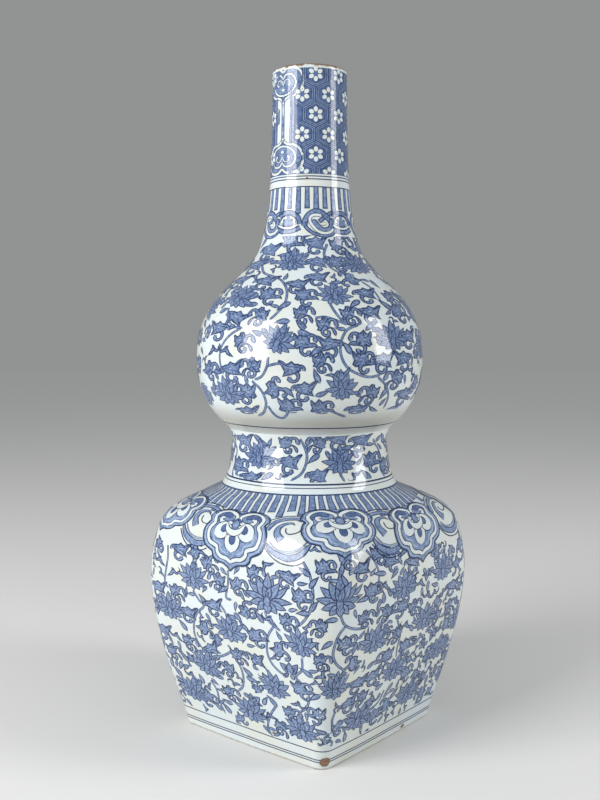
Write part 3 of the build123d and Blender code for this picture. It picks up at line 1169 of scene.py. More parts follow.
# Strokes of the volute between two heads: points, half width, shape, layer, inside and drawn edge
VOLUTE = (
    (((-14, 3), (-8.9, 10.2), (-2.5, 12.4), (3.9, 12.5), (9.3, 10.4), (11.6, 5.1), (10.7, -1.2)),
     1.8, even, 1, "wash", 0.7),
    (((-13.4, 12.4), (-5.4, 15.4), (1.1, 16.2), (7.5, 15.4), (13.4, 12.4)),
     0.4, even, 1, "outline", 0),
    (((-3.8, -6), (-6.6, -1.6), (-6.6, 3), (-3.6, 6.6), (1.1, 7.4), (3.6, 4.8)),
     2.8, tail, 2, "wash", 0.6),
    (((-1.6, 3), (-1.2, -0.4), (1.1, -2.2), (5.4, -1.8), (8.4, 1.2), (9.2, 5.1), (8, 8.4), (4.6, 10)),
     0.34, even, 2, "outline", 0),
    (((-12.4, -6.2), (-6.8, -12.6), (1.1, -14.6), (8.2, -12.6), (12.6, -7.6)),
     0.8, bead, 2, "pale", 0.3),
    (((-15.4, -6.6), (-10.5, -14), (-4, -17.8), (1.8, -18.8), (8.9, -16.2), (14.4, -9)),
     2.7, bead, 1, "wash", 0.7),
    (((-16, -11.6), (-11, -18.6), (-5.4, -22.6), (1.8, -24), (7, -23.2), (11, -20.8)),
     0.42, even, 1, "outline", 0),
)


def volute_drawing():
    """The white volute between two cloud heads."""
    drawing = {}
    for points, half_width, shape, layer, paint, edge in VOLUTE:
        rows = 3 if paint == "wash" else 1
        stroke(drawing, through(points), half_width, shape, layer, inside=paint, edge=edge, rows=rows)
    return drawing


def bar_drawing(width, reach):
    """One upright bar, from the belt down."""
    drawing = {}
    stroke(drawing, through(((0, 0), (0, -reach / 2), (0, -reach))), width / 2, flare, 1, edge=0.66)
    end = through(((-width / 2, -reach), (0, -reach), (width / 2, -reach)))
    stroke(drawing, end, 0.4, even, 2, edge=0, inside="outline")
    return drawing


def collar_places(skin, settings):
    """Where the cloud heads lie on the shoulder, each followed by the volute that is midway to the next."""
    belt = SHOULDER_TOP + settings.belt_height
    turns = [settings.first_head + FULL_TURN * number / settings.heads for number in range(settings.heads)]
    heads = [skin.down(facing(turn), belt, settings.head_drop)[0] for turn in turns]
    places = []
    for head, after in zip(heads, heads[1:] + heads[:1]):
        middle = (head + after) / 2
        places += [head, skin.across(math.atan2(middle.y, middle.x), middle.z)[0]]
    found = []
    for place in places:
        normal = skin.under(place)[1]
        outward = Vector((place.x, place.y, 0)).normalized() * normal.xy.length
        found.append((place, outward + Vector((0, 0, normal.z))))
    return found


class VASE_OT_shoulder(bpy.types.Operator):
    """Paint the bars and the cloud heads round the shoulder"""

    bl_idname = "vase.shoulder"
    bl_label = "Shoulder collar"

    def execute(self, context):
        settings = context.scene.vase_shoulder
        skin = Skin()
        painting = Painting("shoulder_collar", skin, strong=True)
        belt = SHOULDER_TOP + settings.belt_height
        painting.ring("outline", belt, belt + settings.belt_line, steps=240)
        long_bar = stamp_of(bar_drawing(LONG_BAR_WIDTH, settings.bar_length / MM))
        short_bar = stamp_of(bar_drawing(SHORT_BAR_WIDTH, settings.bar_length / MM * SHORT_BAR_SHARE))
        for number in range(settings.bars):
            turn = facing(settings.first_head + FULL_TURN * number / settings.bars)
            bar = short_bar if number % 2 else long_bar
            painting.press(bar, belt_map(skin, turn, belt))
        painting.finish()

        painting = Painting("cloud_heads", skin, base=9)
        head = stamp_of(head_drawing())
        volute = stamp_of(volute_drawing())
        for number, (place, normal) in enumerate(collar_places(skin, settings)):
            carried = spot_map(place, normal)
            if number % 2:
                painting.press(volute, lambda point: carried(point * VOLUTE_STRETCH + VOLUTE_SHIFT))
            else:
                painting.press(head, lambda point: carried(point * HEAD_STRETCH))
        painting.finish()
        return {"FINISHED"}


# The neck

# Room between the lines under the hexagons and their blue ground, the rings that the ground is made of, and
# the depth below the lip where the neck's radius is taken
DIAPER_GAP = 2 * MM
GROUND_RINGS = 9
RADIUS_DEPTH = 30 * MM
# Width of the neck's lines, and the step between the two that lie close together
NECK_LINE = 0.8 * MM
NECK_LINE_STEP = 2.2 * MM
# Right side of a cartouche's cloud head, from its lower point up to the notch, in millimetres
CARTOUCHE_OUTLINE = (
    (0, -13.5), (2.5, -10.5), (5.6, -9.2), (10, -8.6), (15, -5), (17.2, 1), (16.5, 7), (12.5, 11.5),
    (5, 12.5), (0, 9.5),
)
# Where its wash ends instead, straight across the notch
CARTOUCHE_WASH_END = ((12, 11.4), (5, 11.4))
# The line inside it and the curl in its middle
CARTOUCHE_INNER = ((0, -8), (5, -7), (10, -3.5), (11.5, 2), (8.5, 7), (3, 7.5), (0, 4.5))
CARTOUCHE_CURL = ((0, 0), (2, 3.4), (5.4, 3.6), (6.4, 0.6), (4.4, -0.6))
# Half the width of the striped panel between two heads, and the room that the heads take of its height
PANEL_HALF = 7.4
PANEL_ENDS = 18


def cartouche_drawing():
    """A cloud head in white lines on blue, for the top of a cartouche."""
    drawing = {}
    fill(drawing, "wash", CARTOUCHE_OUTLINE[:-3] + CARTOUCHE_WASH_END, 3, rows=14)
    both_sides(drawing, CARTOUCHE_OUTLINE, 1.35, even, 4, inside="white", edge=0.5)
    both_sides(drawing, CARTOUCHE_INNER, 1.15, even, 4, inside="white", edge=0.5)
    both_sides(drawing, CARTOUCHE_CURL, 1.0, hook, 5, inside="white", edge=0.3)
    stroke(drawing, through(((-1.6, -3.6), (0, -3.6), (1.6, -3.6))), 1.4, bead, 5, inside="white", edge=0.25)
    return drawing


def panel_drawing(half, rise):
    """Upright white and blue stripes between the two heads of a cartouche."""
    drawing = {}
    rails = [[Vector((x, y, 0)) for y in (-rise / 2, 0, rise / 2)] for x in (half, -half)]
    strip(drawing, "white", rails[0], rails[1], 2, rows=8)
    stripes = (
        (0, 1.6, "wash"), (half, 1.1, "wash"), (-half, 1.1, "wash"),
        (half + 2, 0.5, "pale"), (-half - 2, 0.5, "pale"),
        (half + 3.6, 0.7, "outline"), (-half - 3.6, 0.7, "outline"),
    )
    for x, half_width, paint in stripes:
        line = through(((x, -rise / 2), (x, 0), (x, rise / 2)))
        stroke(drawing, line, half_width, even, 4, inside=paint, edge=0.5 if paint == "wash" else 0)
    return drawing


# Share of a hexagon's size, half width and paint of each of its nested lines
CELL_LINES = (
    (0.99, 0.34, "soft"), (0.92, 0.32, "wash"), (0.85, 0.3, "soft"), (0.78, 0.32, "wash"),
    (0.71, 0.28, "soft"),
)


def cell_drawing(width, rise):
    """A hexagon of nested lines, with a flower of six white ovals."""
    drawing = {}
    half = width / 2
    shoulder = rise * 0.33
    tip = rise - shoulder
    corners = [(half, shoulder), (0, tip), (-half, shoulder), (-half, -shoulder), (0, -tip),
               (half, -shoulder), (half, shoulder)]
    for size, half_width, paint in CELL_LINES:
        for start, end in zip(corners, corners[1:]):
            middle = ((start[0] + end[0]) / 2, (start[1] + end[1]) / 2)
            points = [(x * size, y * size) for x, y in (start, middle, end)]
            stroke(drawing, through(points, 3), half_width, even, 4, inside=paint, edge=0)
    for number in range(6):
        turn = math.radians(90 + 60 * number)
        points = [(reach * math.cos(turn), reach * math.sin(turn)) for reach in (1.7, 3.8, 5.9)]
        stroke(drawing, through(points), 2.15, bead, 6, inside="white", outside="soft", edge=0.5)
    return drawing


# The interlaced scroll round the neck's foot, drawn in units of about three quarters of a millimetre: first
# the strokes of its loop, then those of the arch beside it, with points, half width, shape, layer and inside
NECK_UNIT = 0.77
NECK_LOOP = (
    (((-12, 0), (-9.4, -5.4), (-4, -10.4), (2, -13), (9, -14), (15, -12.4), (20, -8)),
     2.0, even, 1, "wash"),
    (((23, 8.6), (17, 9.6), (12.4, 7.4), (8, 4), (3, 0.6)),
     2.1, even, 1, "wash"),
    (((-11.4, -4), (-10, 3), (-6, 8.2), (0, 10.8), (6, 9.8), (11, 5.8), (15.4, 1), (15.8, -4),
      (12.6, -7.6), (7, -8.2), (2.6, -5.2), (-0.8, -0.8), (-3.4, 2.8)),
     3.1, stem, 2, "wash"),
    (((5.6, 6.4), (0.6, 7.4), (-4.6, 5.8), (-6, 1.6), (-3.4, -3.4), (1.6, -9), (7.6, -11.2), (14, -10),
      (17.6, -6.6)),
     1.8, even, 3, "white"),
    (((5.2, -1.4), (7.8, -1.6), (10.4, -1.4)), 2.1, bead, 4, "white"),
    (((14.6, 5), (17.4, 5.4), (20.4, 3.6)), 1.3, bead, 3, "white"),
)
NECK_ARCH = (
    (((-13.4, -5.4), (-6, -8.8), (0, -9.6), (6, -8.8), (13.4, -5.4)), 2.6, even, 1, "wash"),
    (((-8, 1), (0, 1.6), (8, 1)), 6.4, bead, 1, "wash"),
    (((-13, -2), (-11, 4.4), (-5.6, 8.8), (0, 10), (5.6, 8.8), (11, 4.4), (13, -2)), 2.7, even, 2, "wash"),
    (((-10.6, -2.6), (-5, -5.2), (0, -5.8), (5, -5.2), (10.6, -2.6)), 1.6, even, 3, "white"),
    (((-2, 4.8), (-5, 4.6), (-7, 2), (-6.2, -0.8)), 2.3, hook, 3, "white"),
    (((2, 4.8), (5, 4.6), (7, 2), (6.2, -0.8)), 2.3, hook, 3, "white"),
)


def neck_scroll_drawing(reach):
    """One repeat of the interlaced scroll round the neck's foot, of a given length."""
    drawing = {}
    for rows, shift in ((NECK_LOOP, 0), (NECK_ARCH, -reach / 2)):
        for points, half_width, shape, layer, paint in rows:
            spine = through([(x + shift, y) for x, y in points])
            edge = 1.1 if paint == "wash" else 0.6
            stroke(drawing, spine, half_width, shape, layer, inside=paint, edge=edge)
    return drawing


def diaper_limits(settings):
    """Lower and upper edge of the hexagons and the cartouches."""
    return NECK_FOOT + settings.lines_height + DIAPER_GAP, LIP - settings.lip_white


def neck_radius(skin):
    """The radius that the drawings of the neck are wrapped round."""
    return math.hypot(*skin.across(0, LIP - RADIUS_DEPTH)[0].xy)


def paint_diaper(skin, settings):
    """The blue ground with its rows of hexagons, which leave out the cartouches."""
    painting = Painting("neck_diaper", skin)
    low, high = diaper_limits(settings)
    for number in range(GROUND_RINGS):
        start = low + (high - low) * number / GROUND_RINGS
        end = low + (high - low) * (number + 1) / GROUND_RINGS
        painting.ring("ground", start, end, 0, steps=144)
    radius = neck_radius(skin)
    cell_width = FULL_TURN * radius / settings.cells / MM
    cell = stamp_of(cell_drawing(cell_width, settings.cell_rise / MM))
    rows = int((high - low) / settings.cell_rise) + 1
    for row in range(rows):
        height = LIP - settings.first_row - row * settings.cell_rise
        for number in range(settings.cells):
            turn = settings.first_cell + FULL_TURN * (number + (row % 2) / 2) / settings.cells
            away = min(abs((turn - settings.cartouche - side + HALF_TURN) % FULL_TURN - HALF_TURN)
                       for side in (0, HALF_TURN))
            if away > settings.cartouche_half:
                carried = wrap_map(skin, facing(turn), height, radius)
                painting.press(cell, lambda point: carried(limited(point, height, low, high)))
    painting.finish()


def paint_cartouches(skin, settings):
    """Two cartouches, each a striped panel between an upright and an inverted cloud head."""
    painting = Painting("neck_cartouche", skin, strong=True)
    limits = diaper_limits(settings)
    radius = neck_radius(skin)
    head = stamp_of(cartouche_drawing())
    top = LIP - settings.cartouche_top
    foot = NECK_FOOT + settings.cartouche_low
    panel = stamp_of(panel_drawing(PANEL_HALF, (top - foot) / MM - PANEL_ENDS))
    for side in (0, HALF_TURN):
        turn = facing(settings.cartouche + side)
        upright = wrap_map(skin, turn, top, radius)
        painting.press(head, lambda point: upright(limited(point, top, *limits)))
        inverted = wrap_map(skin, turn, foot, radius)
        painting.press(head, lambda point: inverted(limited(-point, foot, *limits)))
        painting.press(panel, wrap_map(skin, turn, (top + foot) / 2, radius))
    painting.finish()


def paint_neck_bands(skin, settings):
    """The thin lines, the bars and the interlaced scroll at the neck's foot."""
    painting = Painting("neck_bands", skin, strong=True)
    lines = NECK_FOOT + settings.lines_height
    bars_top = NECK_FOOT + settings.bars_top
    for height in (lines, lines - NECK_LINE_STEP, bars_top):
        painting.ring("outline", height, height + NECK_LINE, 1, steps=144, wander=0.15 * MM)
    reach = (settings.bars_top - settings.bars_low) / MM
    long_bar = stamp_of(bar_drawing(LONG_BAR_WIDTH, reach + NECK_BAR_STEP))
    short_bar = stamp_of(bar_drawing(NECK_BAR_WIDTH, reach))
    for number in range(settings.bars):
        turn = facing(settings.first_bar + FULL_TURN * number / settings.bars)
        painting.press(long_bar if number % 2 else short_bar, belt_map(skin, turn, bars_top))
    height = NECK_FOOT + settings.volute_height
    girth = FULL_TURN * math.hypot(*skin.across(0, height)[0].xy) / MM
    scroll = stamp_of(neck_scroll_drawing(girth / settings.volutes / NECK_UNIT))
    for number in range(settings.volutes):
        turn = facing(settings.first_volute + FULL_TURN * number / settings.volutes)
        painting.press(scroll, belt_map(skin, turn, height, size=NECK_UNIT))
    painting.finish()


class VASE_OT_neck(bpy.types.Operator):
    """Paint the hexagons, cartouches, bars and volutes of the neck"""

    bl_idname = "vase.neck"
    bl_label = "Neck"

    def execute(self, context):
        settings = context.scene.vase_neck
        skin = Skin()
        paint_diaper(skin, settings)
        paint_cartouches(skin, settings)
        paint_neck_bands(skin, settings)
        return {"FINISHED"}


# The three scrolls. Each flower and leaf has its kind, the pixel of the photograph that it lies on, across
# and down, and its turn in degrees. A stem has the pixels that it runs through

BELLY_LARGE_FLOWERS = (("full", 340, 604, 0), ("full", 267, 601, 0))
BELLY_FLOWERS = (
    ("full", 193, 580, 0), ("full", 170, 610, 0), ("full", 230, 633, 0),
    ("open", 301, 648, 0), ("full", 207, 667, -12), ("open", 276, 690, 6), ("full", 194, 692, -10),
    ("full", 251, 713, -10), ("full", 303, 733, 6), ("full", 404, 590, 0),
    ("full", 424, 621, 0), ("full", 443, 571, 0), ("full", 373, 644, -10), ("full", 436, 651, -6),
    ("full", 393, 672, -10), ("full", 335, 691, 0), ("full", 405, 696, -14), ("full", 357, 721, -12),
)
BELLY_LEAVES = (
    ("hooked", 254, 573, 0), ("curl", 266, 565, 60), ("broad", 287, 577, -10), ("crook", 324, 569, 0),
    ("bud", 304, 572, 20), ("bud_left", 314, 583, 0), ("crook", 300, 598, 0), ("bud_left", 314, 607, 0),
    ("bud", 259, 617, 0), ("curl", 270, 620, 0), ("hooked", 287, 621, -5), ("bud", 303, 614, 60),
    ("hooked_left", 320, 627, 0), ("crook", 256, 637, 10), ("bird", 280, 650, 0), ("bud", 327, 646, 90),
    ("trail", 256, 661, 0), ("fleur", 289, 669, 0), ("bud", 306, 673, 20), ("hooked", 321, 661, -10),
    ("twin", 250, 675, 0), ("mitten", 252, 699, 0), ("crook", 301, 690, 10), ("bud", 315, 698, 90),
    ("bud", 272, 701, 0), ("hooked", 291, 713, 0), ("curl", 270, 716, 30), ("hooked", 282, 727, -30),
    ("crook_left", 318, 716, 0), ("bud", 331, 621, 60),
    ("curl", 160, 560, 0), ("curl_left", 173, 572, 0), ("broad", 158, 586, 0), ("hooked", 176, 591, 0),
    ("broad", 180, 549, 0), ("bird", 196, 551, 20), ("hooked", 208, 563, 20), ("hooked_left", 218, 580, 0),
    ("hooked", 237, 585, 0), ("bud", 223, 590, 90), ("broad", 188, 612, 0), ("bud", 203, 600, 0),
    ("broad", 213, 605, 10), ("bird", 205, 628, 0), ("bud", 183, 625, 0), ("broad", 163, 629, 0),
    ("curl", 177, 636, 0), ("hooked", 189, 641, -10), ("hooked", 173, 650, 0), ("bud", 184, 656, 0),
    ("bud", 178, 671, 0), ("curl", 192, 675, 0), ("broad", 211, 649, 30), ("hooked_left", 228, 668, 10),
    ("hooked", 238, 655, 0), ("hooked", 230, 692, 0), ("crook", 208, 697, -20), ("bud", 227, 708, 0),
    ("hooked", 246, 611, 60), ("crook", 379, 554, 0), ("bud", 404, 552, 90), ("broad", 361, 569, 10),
    ("bud", 380, 574, 40), ("crook", 391, 561, 0), ("broad", 413, 561, 0), ("hooked", 347, 559, 0),
    ("crook", 372, 592, 0), ("curl", 385, 586, 0), ("hooked_left", 386, 612, 0), ("crook_left", 402, 607, 0),
    ("hooked", 414, 606, 0), ("curl", 421, 583, 0), ("crook", 346, 645, 0), ("bird_left", 352, 664, 0),
    ("hooked", 365, 618, 0), ("bud", 363, 600, 60), ("hooked_left", 396, 634, 0), ("curl", 406, 625, 0),
    ("crook", 405, 646, 0), ("crook_left", 386, 657, 0), ("broad", 372, 676, 20), ("broad", 357, 683, 0),
    ("hooked_left", 361, 697, 0), ("broad", 348, 703, 20), ("bird_left", 385, 705, 0),
    ("crook", 373, 716, 0), ("bud_left", 394, 693, 0), ("curl", 366, 733, 0), ("hooked", 338, 727, 0),
    ("curl", 428, 595, 0), ("hooked_left", 436, 615, 0), ("hooked", 449, 605, 0), ("curl", 420, 655, 0),
    ("hooked_left", 421, 677, 0), ("broad", 452, 585, 0),
)
BELLY_STEMS = (
    ((303, 562), (309, 573), (312, 586), (313, 600), (309, 613), (303, 622), (295, 628)),
    ((265, 611), (268, 620), (274, 626), (281, 631)),
    ((274, 626), (268, 636), (267, 650), (271, 662), (280, 672), (289, 677)),
    ((302, 658), (302, 670), (296, 677), (304, 686), (309, 696), (307, 707), (299, 713)),
    ((228, 570), (228, 584), (226, 597), (232, 600)),
    ((219, 603), (225, 612), (228, 621)),
    ((168, 545), (168, 557), (166, 570), (165, 582), (169, 588)),
    ((193, 590), (199, 600), (204, 606), (197, 613), (194, 624), (195, 635), (200, 645), (208, 654)),
    ((228, 645), (231, 651), (222, 656), (212, 656)),
    ((231, 652), (238, 662), (243, 674), (243, 686), (238, 691)),
    ((211, 680), (217, 690), (220, 702), (226, 714)),
    ((188, 648), (196, 655), (200, 662)),
    ((262, 664), (268, 672), (270, 680)),
    ((277, 705), (271, 714), (268, 726), (273, 737)),
    ((345, 627), (339, 635), (335, 645), (333, 656), (337, 665), (345, 671)),
    ((341, 617), (344, 624), (350, 628), (358, 629), (367, 627)),
    ((366, 550), (374, 560), (379, 574), (377, 590), (372, 604)),
    ((396, 606), (388, 616), (379, 628)),
    ((397, 618), (400, 634), (397, 648), (396, 658)),
    ((335, 712), (332, 722), (334, 734)),
    ((384, 690), (378, 702), (368, 712)),
)
BULB_FLOWERS = (
    ("full", 335, 297, 0), ("full", 277, 343, -20), ("full", 238, 299, -25), ("full", 229, 396, 10),
    ("open", 342, 391, 0), ("full", 393, 341, 0), ("full", 291, 264, 0), ("full", 359, 267, 15),
)
BULB_LEAVES = (
    ("crook", 268, 295, 0), ("broad", 265, 281, 0), ("hooked_left", 260, 315, 0), ("bud", 284, 306, 90),
    ("broad", 236, 317, -20), ("broad_left", 219, 328, 0), ("hooked", 242, 341, 0), ("curl", 226, 351, 0),
    ("curl_left", 213, 350, 0), ("broad", 231, 369, 10), ("hooked", 210, 369, 0),
    ("hooked_left", 252, 366, 0),
    ("broad_left", 292, 369, 0), ("bird", 274, 389, 20), ("crook_left", 247, 393, 0), ("broad", 248, 412, 0),
    ("crook", 288, 407, 0), ("broad", 304, 389, 0), ("crook", 303, 343, 0), ("hooked", 302, 313, 0),
    ("crook", 304, 296, 0), ("broad", 297, 284, 0), ("broad", 317, 277, 0), ("hooked", 325, 325, 0),
    ("broad_left", 330, 344, 0), ("hooked", 321, 361, 0), ("hooked", 349, 314, 0), ("bud", 355, 304, 90),
    ("broad", 365, 293, 0), ("bird_left", 350, 279, 0), ("broad", 370, 312, 0), ("bud", 347, 348, 0),
    ("crook_left", 363, 341, 0), ("crook", 362, 361, 0), ("broad", 383, 360, 0), ("hooked_left", 371, 393, 0),
    ("crook", 320, 409, 0), ("broad", 357, 410, 0), ("bud", 372, 411, 0), ("bud", 392, 409, 60),
    ("hooked_left", 396, 378, 0), ("broad", 404, 394, 0), ("broad_left", 404, 358, 0), ("bud", 385, 305, 0),
    ("crook", 398, 312, 0), ("broad", 408, 336, 0), ("hooked", 390, 297, 0), ("bud", 383, 281, 0),
    ("hooked", 338, 245, 0), ("crook", 337, 263, 0), ("broad", 317, 262, 0), ("crook", 291, 242, 0),
    ("broad", 269, 250, 0), ("broad", 315, 243, 0), ("curl", 347, 238, 0), ("bud", 309, 234, 90),
    ("broad", 256, 265, 0), ("broad", 241, 280, 0), ("bud", 250, 305, 60),
    ("bud", 316, 352, 90), ("twin", 303, 328, 0), ("bud", 282, 322, 60), ("bud_left", 317, 376, 60),
)
BULB_STEMS = (
    ((268, 252), (263, 262), (264, 273), (278, 278), (285, 285), (287, 294), (284, 305), (275, 315),
     (269, 320)),
    ((229, 308), (228, 318), (233, 326), (243, 328)),
    ((241, 328), (229, 336), (221, 348), (220, 362), (224, 375)),
    ((268, 357), (267, 366), (262, 376), (254, 380)),
    ((252, 381), (261, 390), (266, 402), (264, 412), (258, 416)),
    ((268, 406), (275, 415), (283, 418), (289, 412)),
    ((267, 366), (275, 364), (283, 363)),
    ((330, 304), (335, 312), (342, 320), (352, 325), (362, 323)),
    ((358, 325), (347, 330), (341, 342), (341, 355), (347, 367), (358, 374), (370, 377), (382, 373),
     (391, 362)),
    ((378, 377), (386, 386), (388, 397), (383, 409)),
    ((327, 244), (324, 255), (329, 266), (339, 273)),
    ((362, 282), (371, 288), (379, 298), (382, 305)),
    ((315, 318), (325, 317), (338, 321), (348, 325)),
    ((329, 410), (338, 414), (346, 417)),
)
WAIST_FLOWERS = (("full", 259, 459, 0), ("full", 340, 465, 0))
WAIST_LEAVES = (
    ("hooked", 287, 443, 0), ("hooked_left", 318, 443, 0), ("broad", 289, 462, 0), ("broad", 317, 476, 0),
    ("bud", 314, 459, 90), ("broad", 338, 439, 0), ("broad", 361, 440, 0), ("crook", 371, 461, 0),
    ("bud", 366, 475, 0), ("broad", 244, 440, 0), ("crook", 239, 466, 0), ("broad", 250, 478, 0),
    ("bud", 382, 438, 0), ("hooked", 384, 465, 0), ("bud", 257, 438, 0), ("bud", 267, 477, 90),
)
WAIST_STEMS = (
    ((300, 439), (304, 446), (307, 456), (305, 467), (300, 475), (290, 481)),
    ((312, 440), (307, 446), (306, 452)),
    ((234, 440), (237, 448), (236, 458), (233, 470), (233, 478)),
    ((373, 439), (377, 447), (381, 459), (380, 468), (385, 477)),
    ((340, 474), (345, 482)),
)
# Lines of the waist: the lower edge of each and its width
WAIST_LINES = (
    (CREASE + 5.3 * MM, 0.8 * MM), (SHOULDER_TOP + 10.5 * MM, 1.2 * MM), (SHOULDER_TOP + 8.3 * MM, 0.6 * MM),
)


class VASE_OT_bulb(bpy.types.Operator):
    """Paint the scrolling lotus of the round upper bulb"""

    bl_idname = "vase.bulb"
    bl_label = "Upper bulb scroll"

    def execute(self, context):
        settings = context.scene.vase_bulb
        low = BULB_GIRTH - settings.scroll_low
        high = BULB_GIRTH + settings.scroll_top
        scroll = Scroll("bulb_scroll", Skin(), low, high, strong=True)
        scroll.paint(settings, BULB_FLOWERS, BULB_STEMS, BULB_LEAVES)
        return {"FINISHED"}


class VASE_OT_waist(bpy.types.Operator):
    """Paint the scroll and the lines of the waist"""

    bl_idname = "vase.waist"
    bl_label = "Waist"

    def execute(self, context):
        settings = context.scene.vase_waist
        skin = Skin()
        low = SHOULDER_TOP + settings.scroll_low
        high = CREASE - settings.scroll_top
        scroll = Scroll("waist_scroll", skin, low, high, strong=True)
        scroll.paint(settings, WAIST_FLOWERS, WAIST_STEMS, WAIST_LEAVES)
        painting = Painting("waist_lines", skin)
        for height, width in WAIST_LINES:
            painting.ring("outline", height, height + width, 1, steps=200, wander=0.2 * MM)
        painting.finish()
        return {"FINISHED"}


class VASE_OT_belly(bpy.types.Operator):
    """Paint the scrolling lotus of the square lower bulb"""

    bl_idname = "vase.belly"
    bl_label = "Lower bulb scroll"

    def execute(self, context):
        settings = context.scene.vase_belly
        collar = context.scene.vase_shoulder
        skin = Skin()
        scroll = Scroll("belly_scroll", skin, settings.scroll_low, SHOULDER_TOP - settings.scroll_top)
        # The scroll leaves room for the collar of cloud heads and volutes above it
        for place, normal in collar_places(skin, collar):
            scroll.taken.append((place, COLLAR_ROOM))
        scroll.motifs(BELLY_LARGE_FLOWERS)
        scroll.paint(settings, BELLY_FLOWERS, BELLY_STEMS, BELLY_LEAVES)
        return {"FINISHED"}


# Step between the two lines of the foot's double line, as a share of their width
DOUBLE_LINE_STEP = 2.4


class VASE_OT_foot(bpy.types.Operator):
    """Paint the lines round the foot"""

    bl_idname = "vase.foot"
    bl_label = "Foot lines"

    def execute(self, context):
        settings = context.scene.vase_foot
        painting = Painting("foot_lines", Skin())
        width = settings.line_width
        step = DOUBLE_LINE_STEP * width
        for height in (settings.upper_line, settings.double_line, settings.double_line - step):
            painting.ring("outline", height - width / 2, height + width / 2, steps=480, wander=0.25 * MM)
        painting.finish()
        return {"FINISHED"}


# Bare spots of the foot and dark specks, each with the pixel of the photograph that it lies on, across and
# down, and its width and height in millimetres
BARE_SPOTS = ((325, 763, 8.5, 7.5), (402, 726, 5, 3), (274, 733, 3, 2))
DARK_SPECKS = (
    (296, 626, 1.1, 0.9), (307, 178, 1.4, 1.3), (294, 596, 1, 0.8), (300, 315, 2.4, 1.2),
    (262, 688, 1, 0.8),
)


class VASE_OT_marks(bpy.types.Operator):
    """Add the bare spots of the foot and the dark specks"""

    bl_idname = "vase.marks"
    bl_label = "Kiln marks"

    def execute(self, context):
        skin = Skin()
        painting = Painting("kiln_marks", skin, base=10)
        for rows, inside in ((BARE_SPOTS, "worn"), (DARK_SPECKS, "speck")):
            for across_pixel, down_pixel, width, rise in rows:
                seen = skin.seen((across_pixel, down_pixel))
                if seen is None:
                    raise RuntimeError(f"nothing of the vase at pixel {across_pixel}, {down_pixel}")
                drawing = {}
                line = ((-width / 2, -0.1 * rise), (0, 0.1 * rise), (width / 2, -0.05 * rise))
                stroke(drawing, through(line), rise / 2, bead, 0, inside, "speck", edge=0.12 * rise)
                painting.press(stamp_of(drawing), spot_map(*seen))
        painting.finish()
        return {"FINISHED"}


class VASE_OT_glaze(bpy.types.Operator):
    """Glaze the porcelain sections"""

    bl_idname = "vase.glaze"
    bl_label = "Glaze"

    def execute(self, context):
        white = white_glaze()
        special = {"neck": lip_glaze(), "foot_rim": foot_glaze()}
        for name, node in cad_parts.items():
            for slot in node.material_slots:
                slot.material = special.get(name, white)
        return {"FINISHED"}


# The two tall lamps that the glaze reflects as windows: name, turn to the right of the camera and lift in
# degrees, width and height in metres, and share of the windows' power
WINDOWS = (
    ("left_window", -54, 20, (0.85, 1.2), 1.0),
    ("right_window", 76, 18, (0.5, 1.2), 0.5),
)
WINDOW_DISTANCE = 1.6
WINDOW_AIM = Vector((0, 0, 0.3))
FLOOR_RADIUS = 6


def add_window(name, turn, lift, size, power):
    """A tall soft lamp, at a turn to the right of the camera."""
    data = bpy.data.lights.new(name, "AREA")
    data.shape = "RECTANGLE"
    data.size, data.size_y = size
    data.energy = power
    lamp = bpy.data.objects.new(name, data)
    heading = facing(math.radians(turn))
    rise = math.radians(lift)
    outward = Vector((math.cos(heading) * math.cos(rise), math.sin(heading) * math.cos(rise), math.sin(rise)))
    lamp.location = WINDOW_AIM + WINDOW_DISTANCE * outward
    lamp.rotation_euler = (WINDOW_AIM - lamp.location).to_track_quat("-Z", "Y").to_euler()
    bpy.context.scene.collection.objects.link(lamp)


def add_floor(settings):
    """A plain matt floor."""
    mesh = bpy.data.meshes.new("floor")
    sheet = bmesh.new()
    bmesh.ops.create_circle(sheet, cap_ends=True, segments=96, radius=FLOOR_RADIUS)
    sheet.to_mesh(mesh)
    sheet.free()
    floor = bpy.data.objects.new("floor", mesh)
    bpy.context.scene.collection.objects.link(floor)
    material = bpy.data.materials.new("floor")
    material.use_nodes = True
    shader = material.node_tree.nodes["Principled BSDF"]
    shader.inputs["Base Color"].default_value = (*settings.floor, 1)
    shader.inputs["Roughness"].default_value = 0.7
    shader.inputs["Specular IOR Level"].default_value = 0.0
    mesh.materials.append(material)


def add_surroundings(settings):
    """Even light from all round, which shows in the tone that it gives the floor."""
    world = bpy.data.worlds.new("surroundings")
    world.use_nodes = True
    tree = world.node_tree
    back = tree.nodes["Background"]
    rays = add_node(tree, "ShaderNodeLightPath").outputs
    seen = arithmetic(tree, "ADD", rays["Is Camera Ray"], rays["Is Transmission Ray"])
    seen = arithmetic(tree, "ADD", seen, rays["Is Glossy Ray"])
    tone = [share * light for share, light in zip(settings.floor, settings.sky)]
    shown = blend_colours(tree, seen, tuple(settings.sky), tuple(tone))
    tree.links.new(shown, back.inputs["Color"])
    back.inputs["Strength"].default_value = settings.sky_strength
    bpy.context.scene.world = world


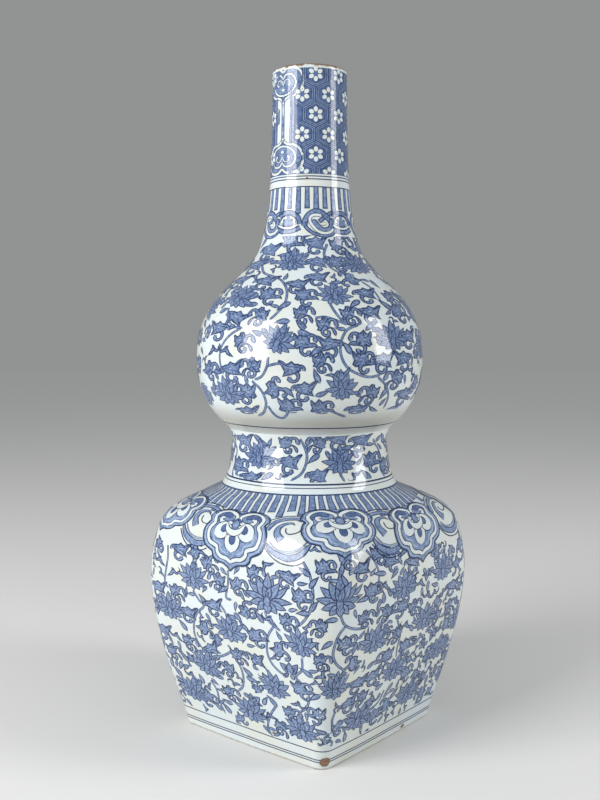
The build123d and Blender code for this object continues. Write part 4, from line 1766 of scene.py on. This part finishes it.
def add_camera():
    """The camera, where the photograph's camera stands."""
    data = bpy.data.cameras.new("camera")
    data.lens = LENS_SHARE * SENSOR
    data.sensor_width = SENSOR
    camera = bpy.data.objects.new("camera", data)
    camera.location = camera_place()
    camera.rotation_euler = camera_angles()
    bpy.context.scene.collection.objects.link(camera)
    bpy.context.scene.camera = camera


class VASE_OT_stage(bpy.types.Operator):
    """Set the floor, the lamps and the camera"""

    bl_idname = "vase.stage"
    bl_label = "Studio"

    def execute(self, context):
        settings = context.scene.vase_stage
        add_floor(settings)
        add_surroundings(settings)
        for name, turn, lift, size, share in WINDOWS:
            add_window(name, turn, lift, size, settings.window_power * share)
        add_camera()
        context.scene.view_settings.view_transform = "Standard"
        return {"FINISHED"}


class VASE_PT_panel(bpy.types.Panel):
    """Lists the steps of the vase"""

    bl_label = "Double gourd vase"
    bl_idname = "VASE_PT_panel"
    bl_space_type = "VIEW_3D"
    bl_region_type = "UI"
    bl_category = "Vase"

    def draw(self, context):
        for operator in OPERATORS:
            self.layout.operator(operator.bl_idname)


SETTINGS = (
    ("vase_glaze", GlazeSettings), ("vase_neck", NeckSettings), ("vase_bulb", BulbSettings),
    ("vase_waist", WaistSettings), ("vase_shoulder", ShoulderSettings), ("vase_belly", BellySettings),
    ("vase_foot", FootSettings), ("vase_stage", StageSettings),
)
OPERATORS = (
    VASE_OT_glaze, VASE_OT_neck, VASE_OT_bulb, VASE_OT_waist, VASE_OT_shoulder, VASE_OT_belly, VASE_OT_foot,
    VASE_OT_marks, VASE_OT_stage,
)


def register():
    """Registers the settings, the operators and the panel."""
    for name, group in SETTINGS:
        bpy.utils.register_class(group)
        setattr(bpy.types.Scene, name, PointerProperty(type=group))
    for operator in OPERATORS:
        bpy.utils.register_class(operator)
    bpy.utils.register_class(VASE_PT_panel)


def unregister():
    """Takes them all away again."""
    bpy.utils.unregister_class(VASE_PT_panel)
    for operator in reversed(OPERATORS):
        bpy.utils.unregister_class(operator)
    for name, group in reversed(SETTINGS):
        delattr(bpy.types.Scene, name)
        bpy.utils.unregister_class(group)


def main():
    """Dresses the vase by registering its steps and running each of them in turn."""
    register()
    for operator in OPERATORS:
        group, name = operator.bl_idname.split(".")
        getattr(getattr(bpy.ops, group), name)()


if __name__ == "__main__":
    main()
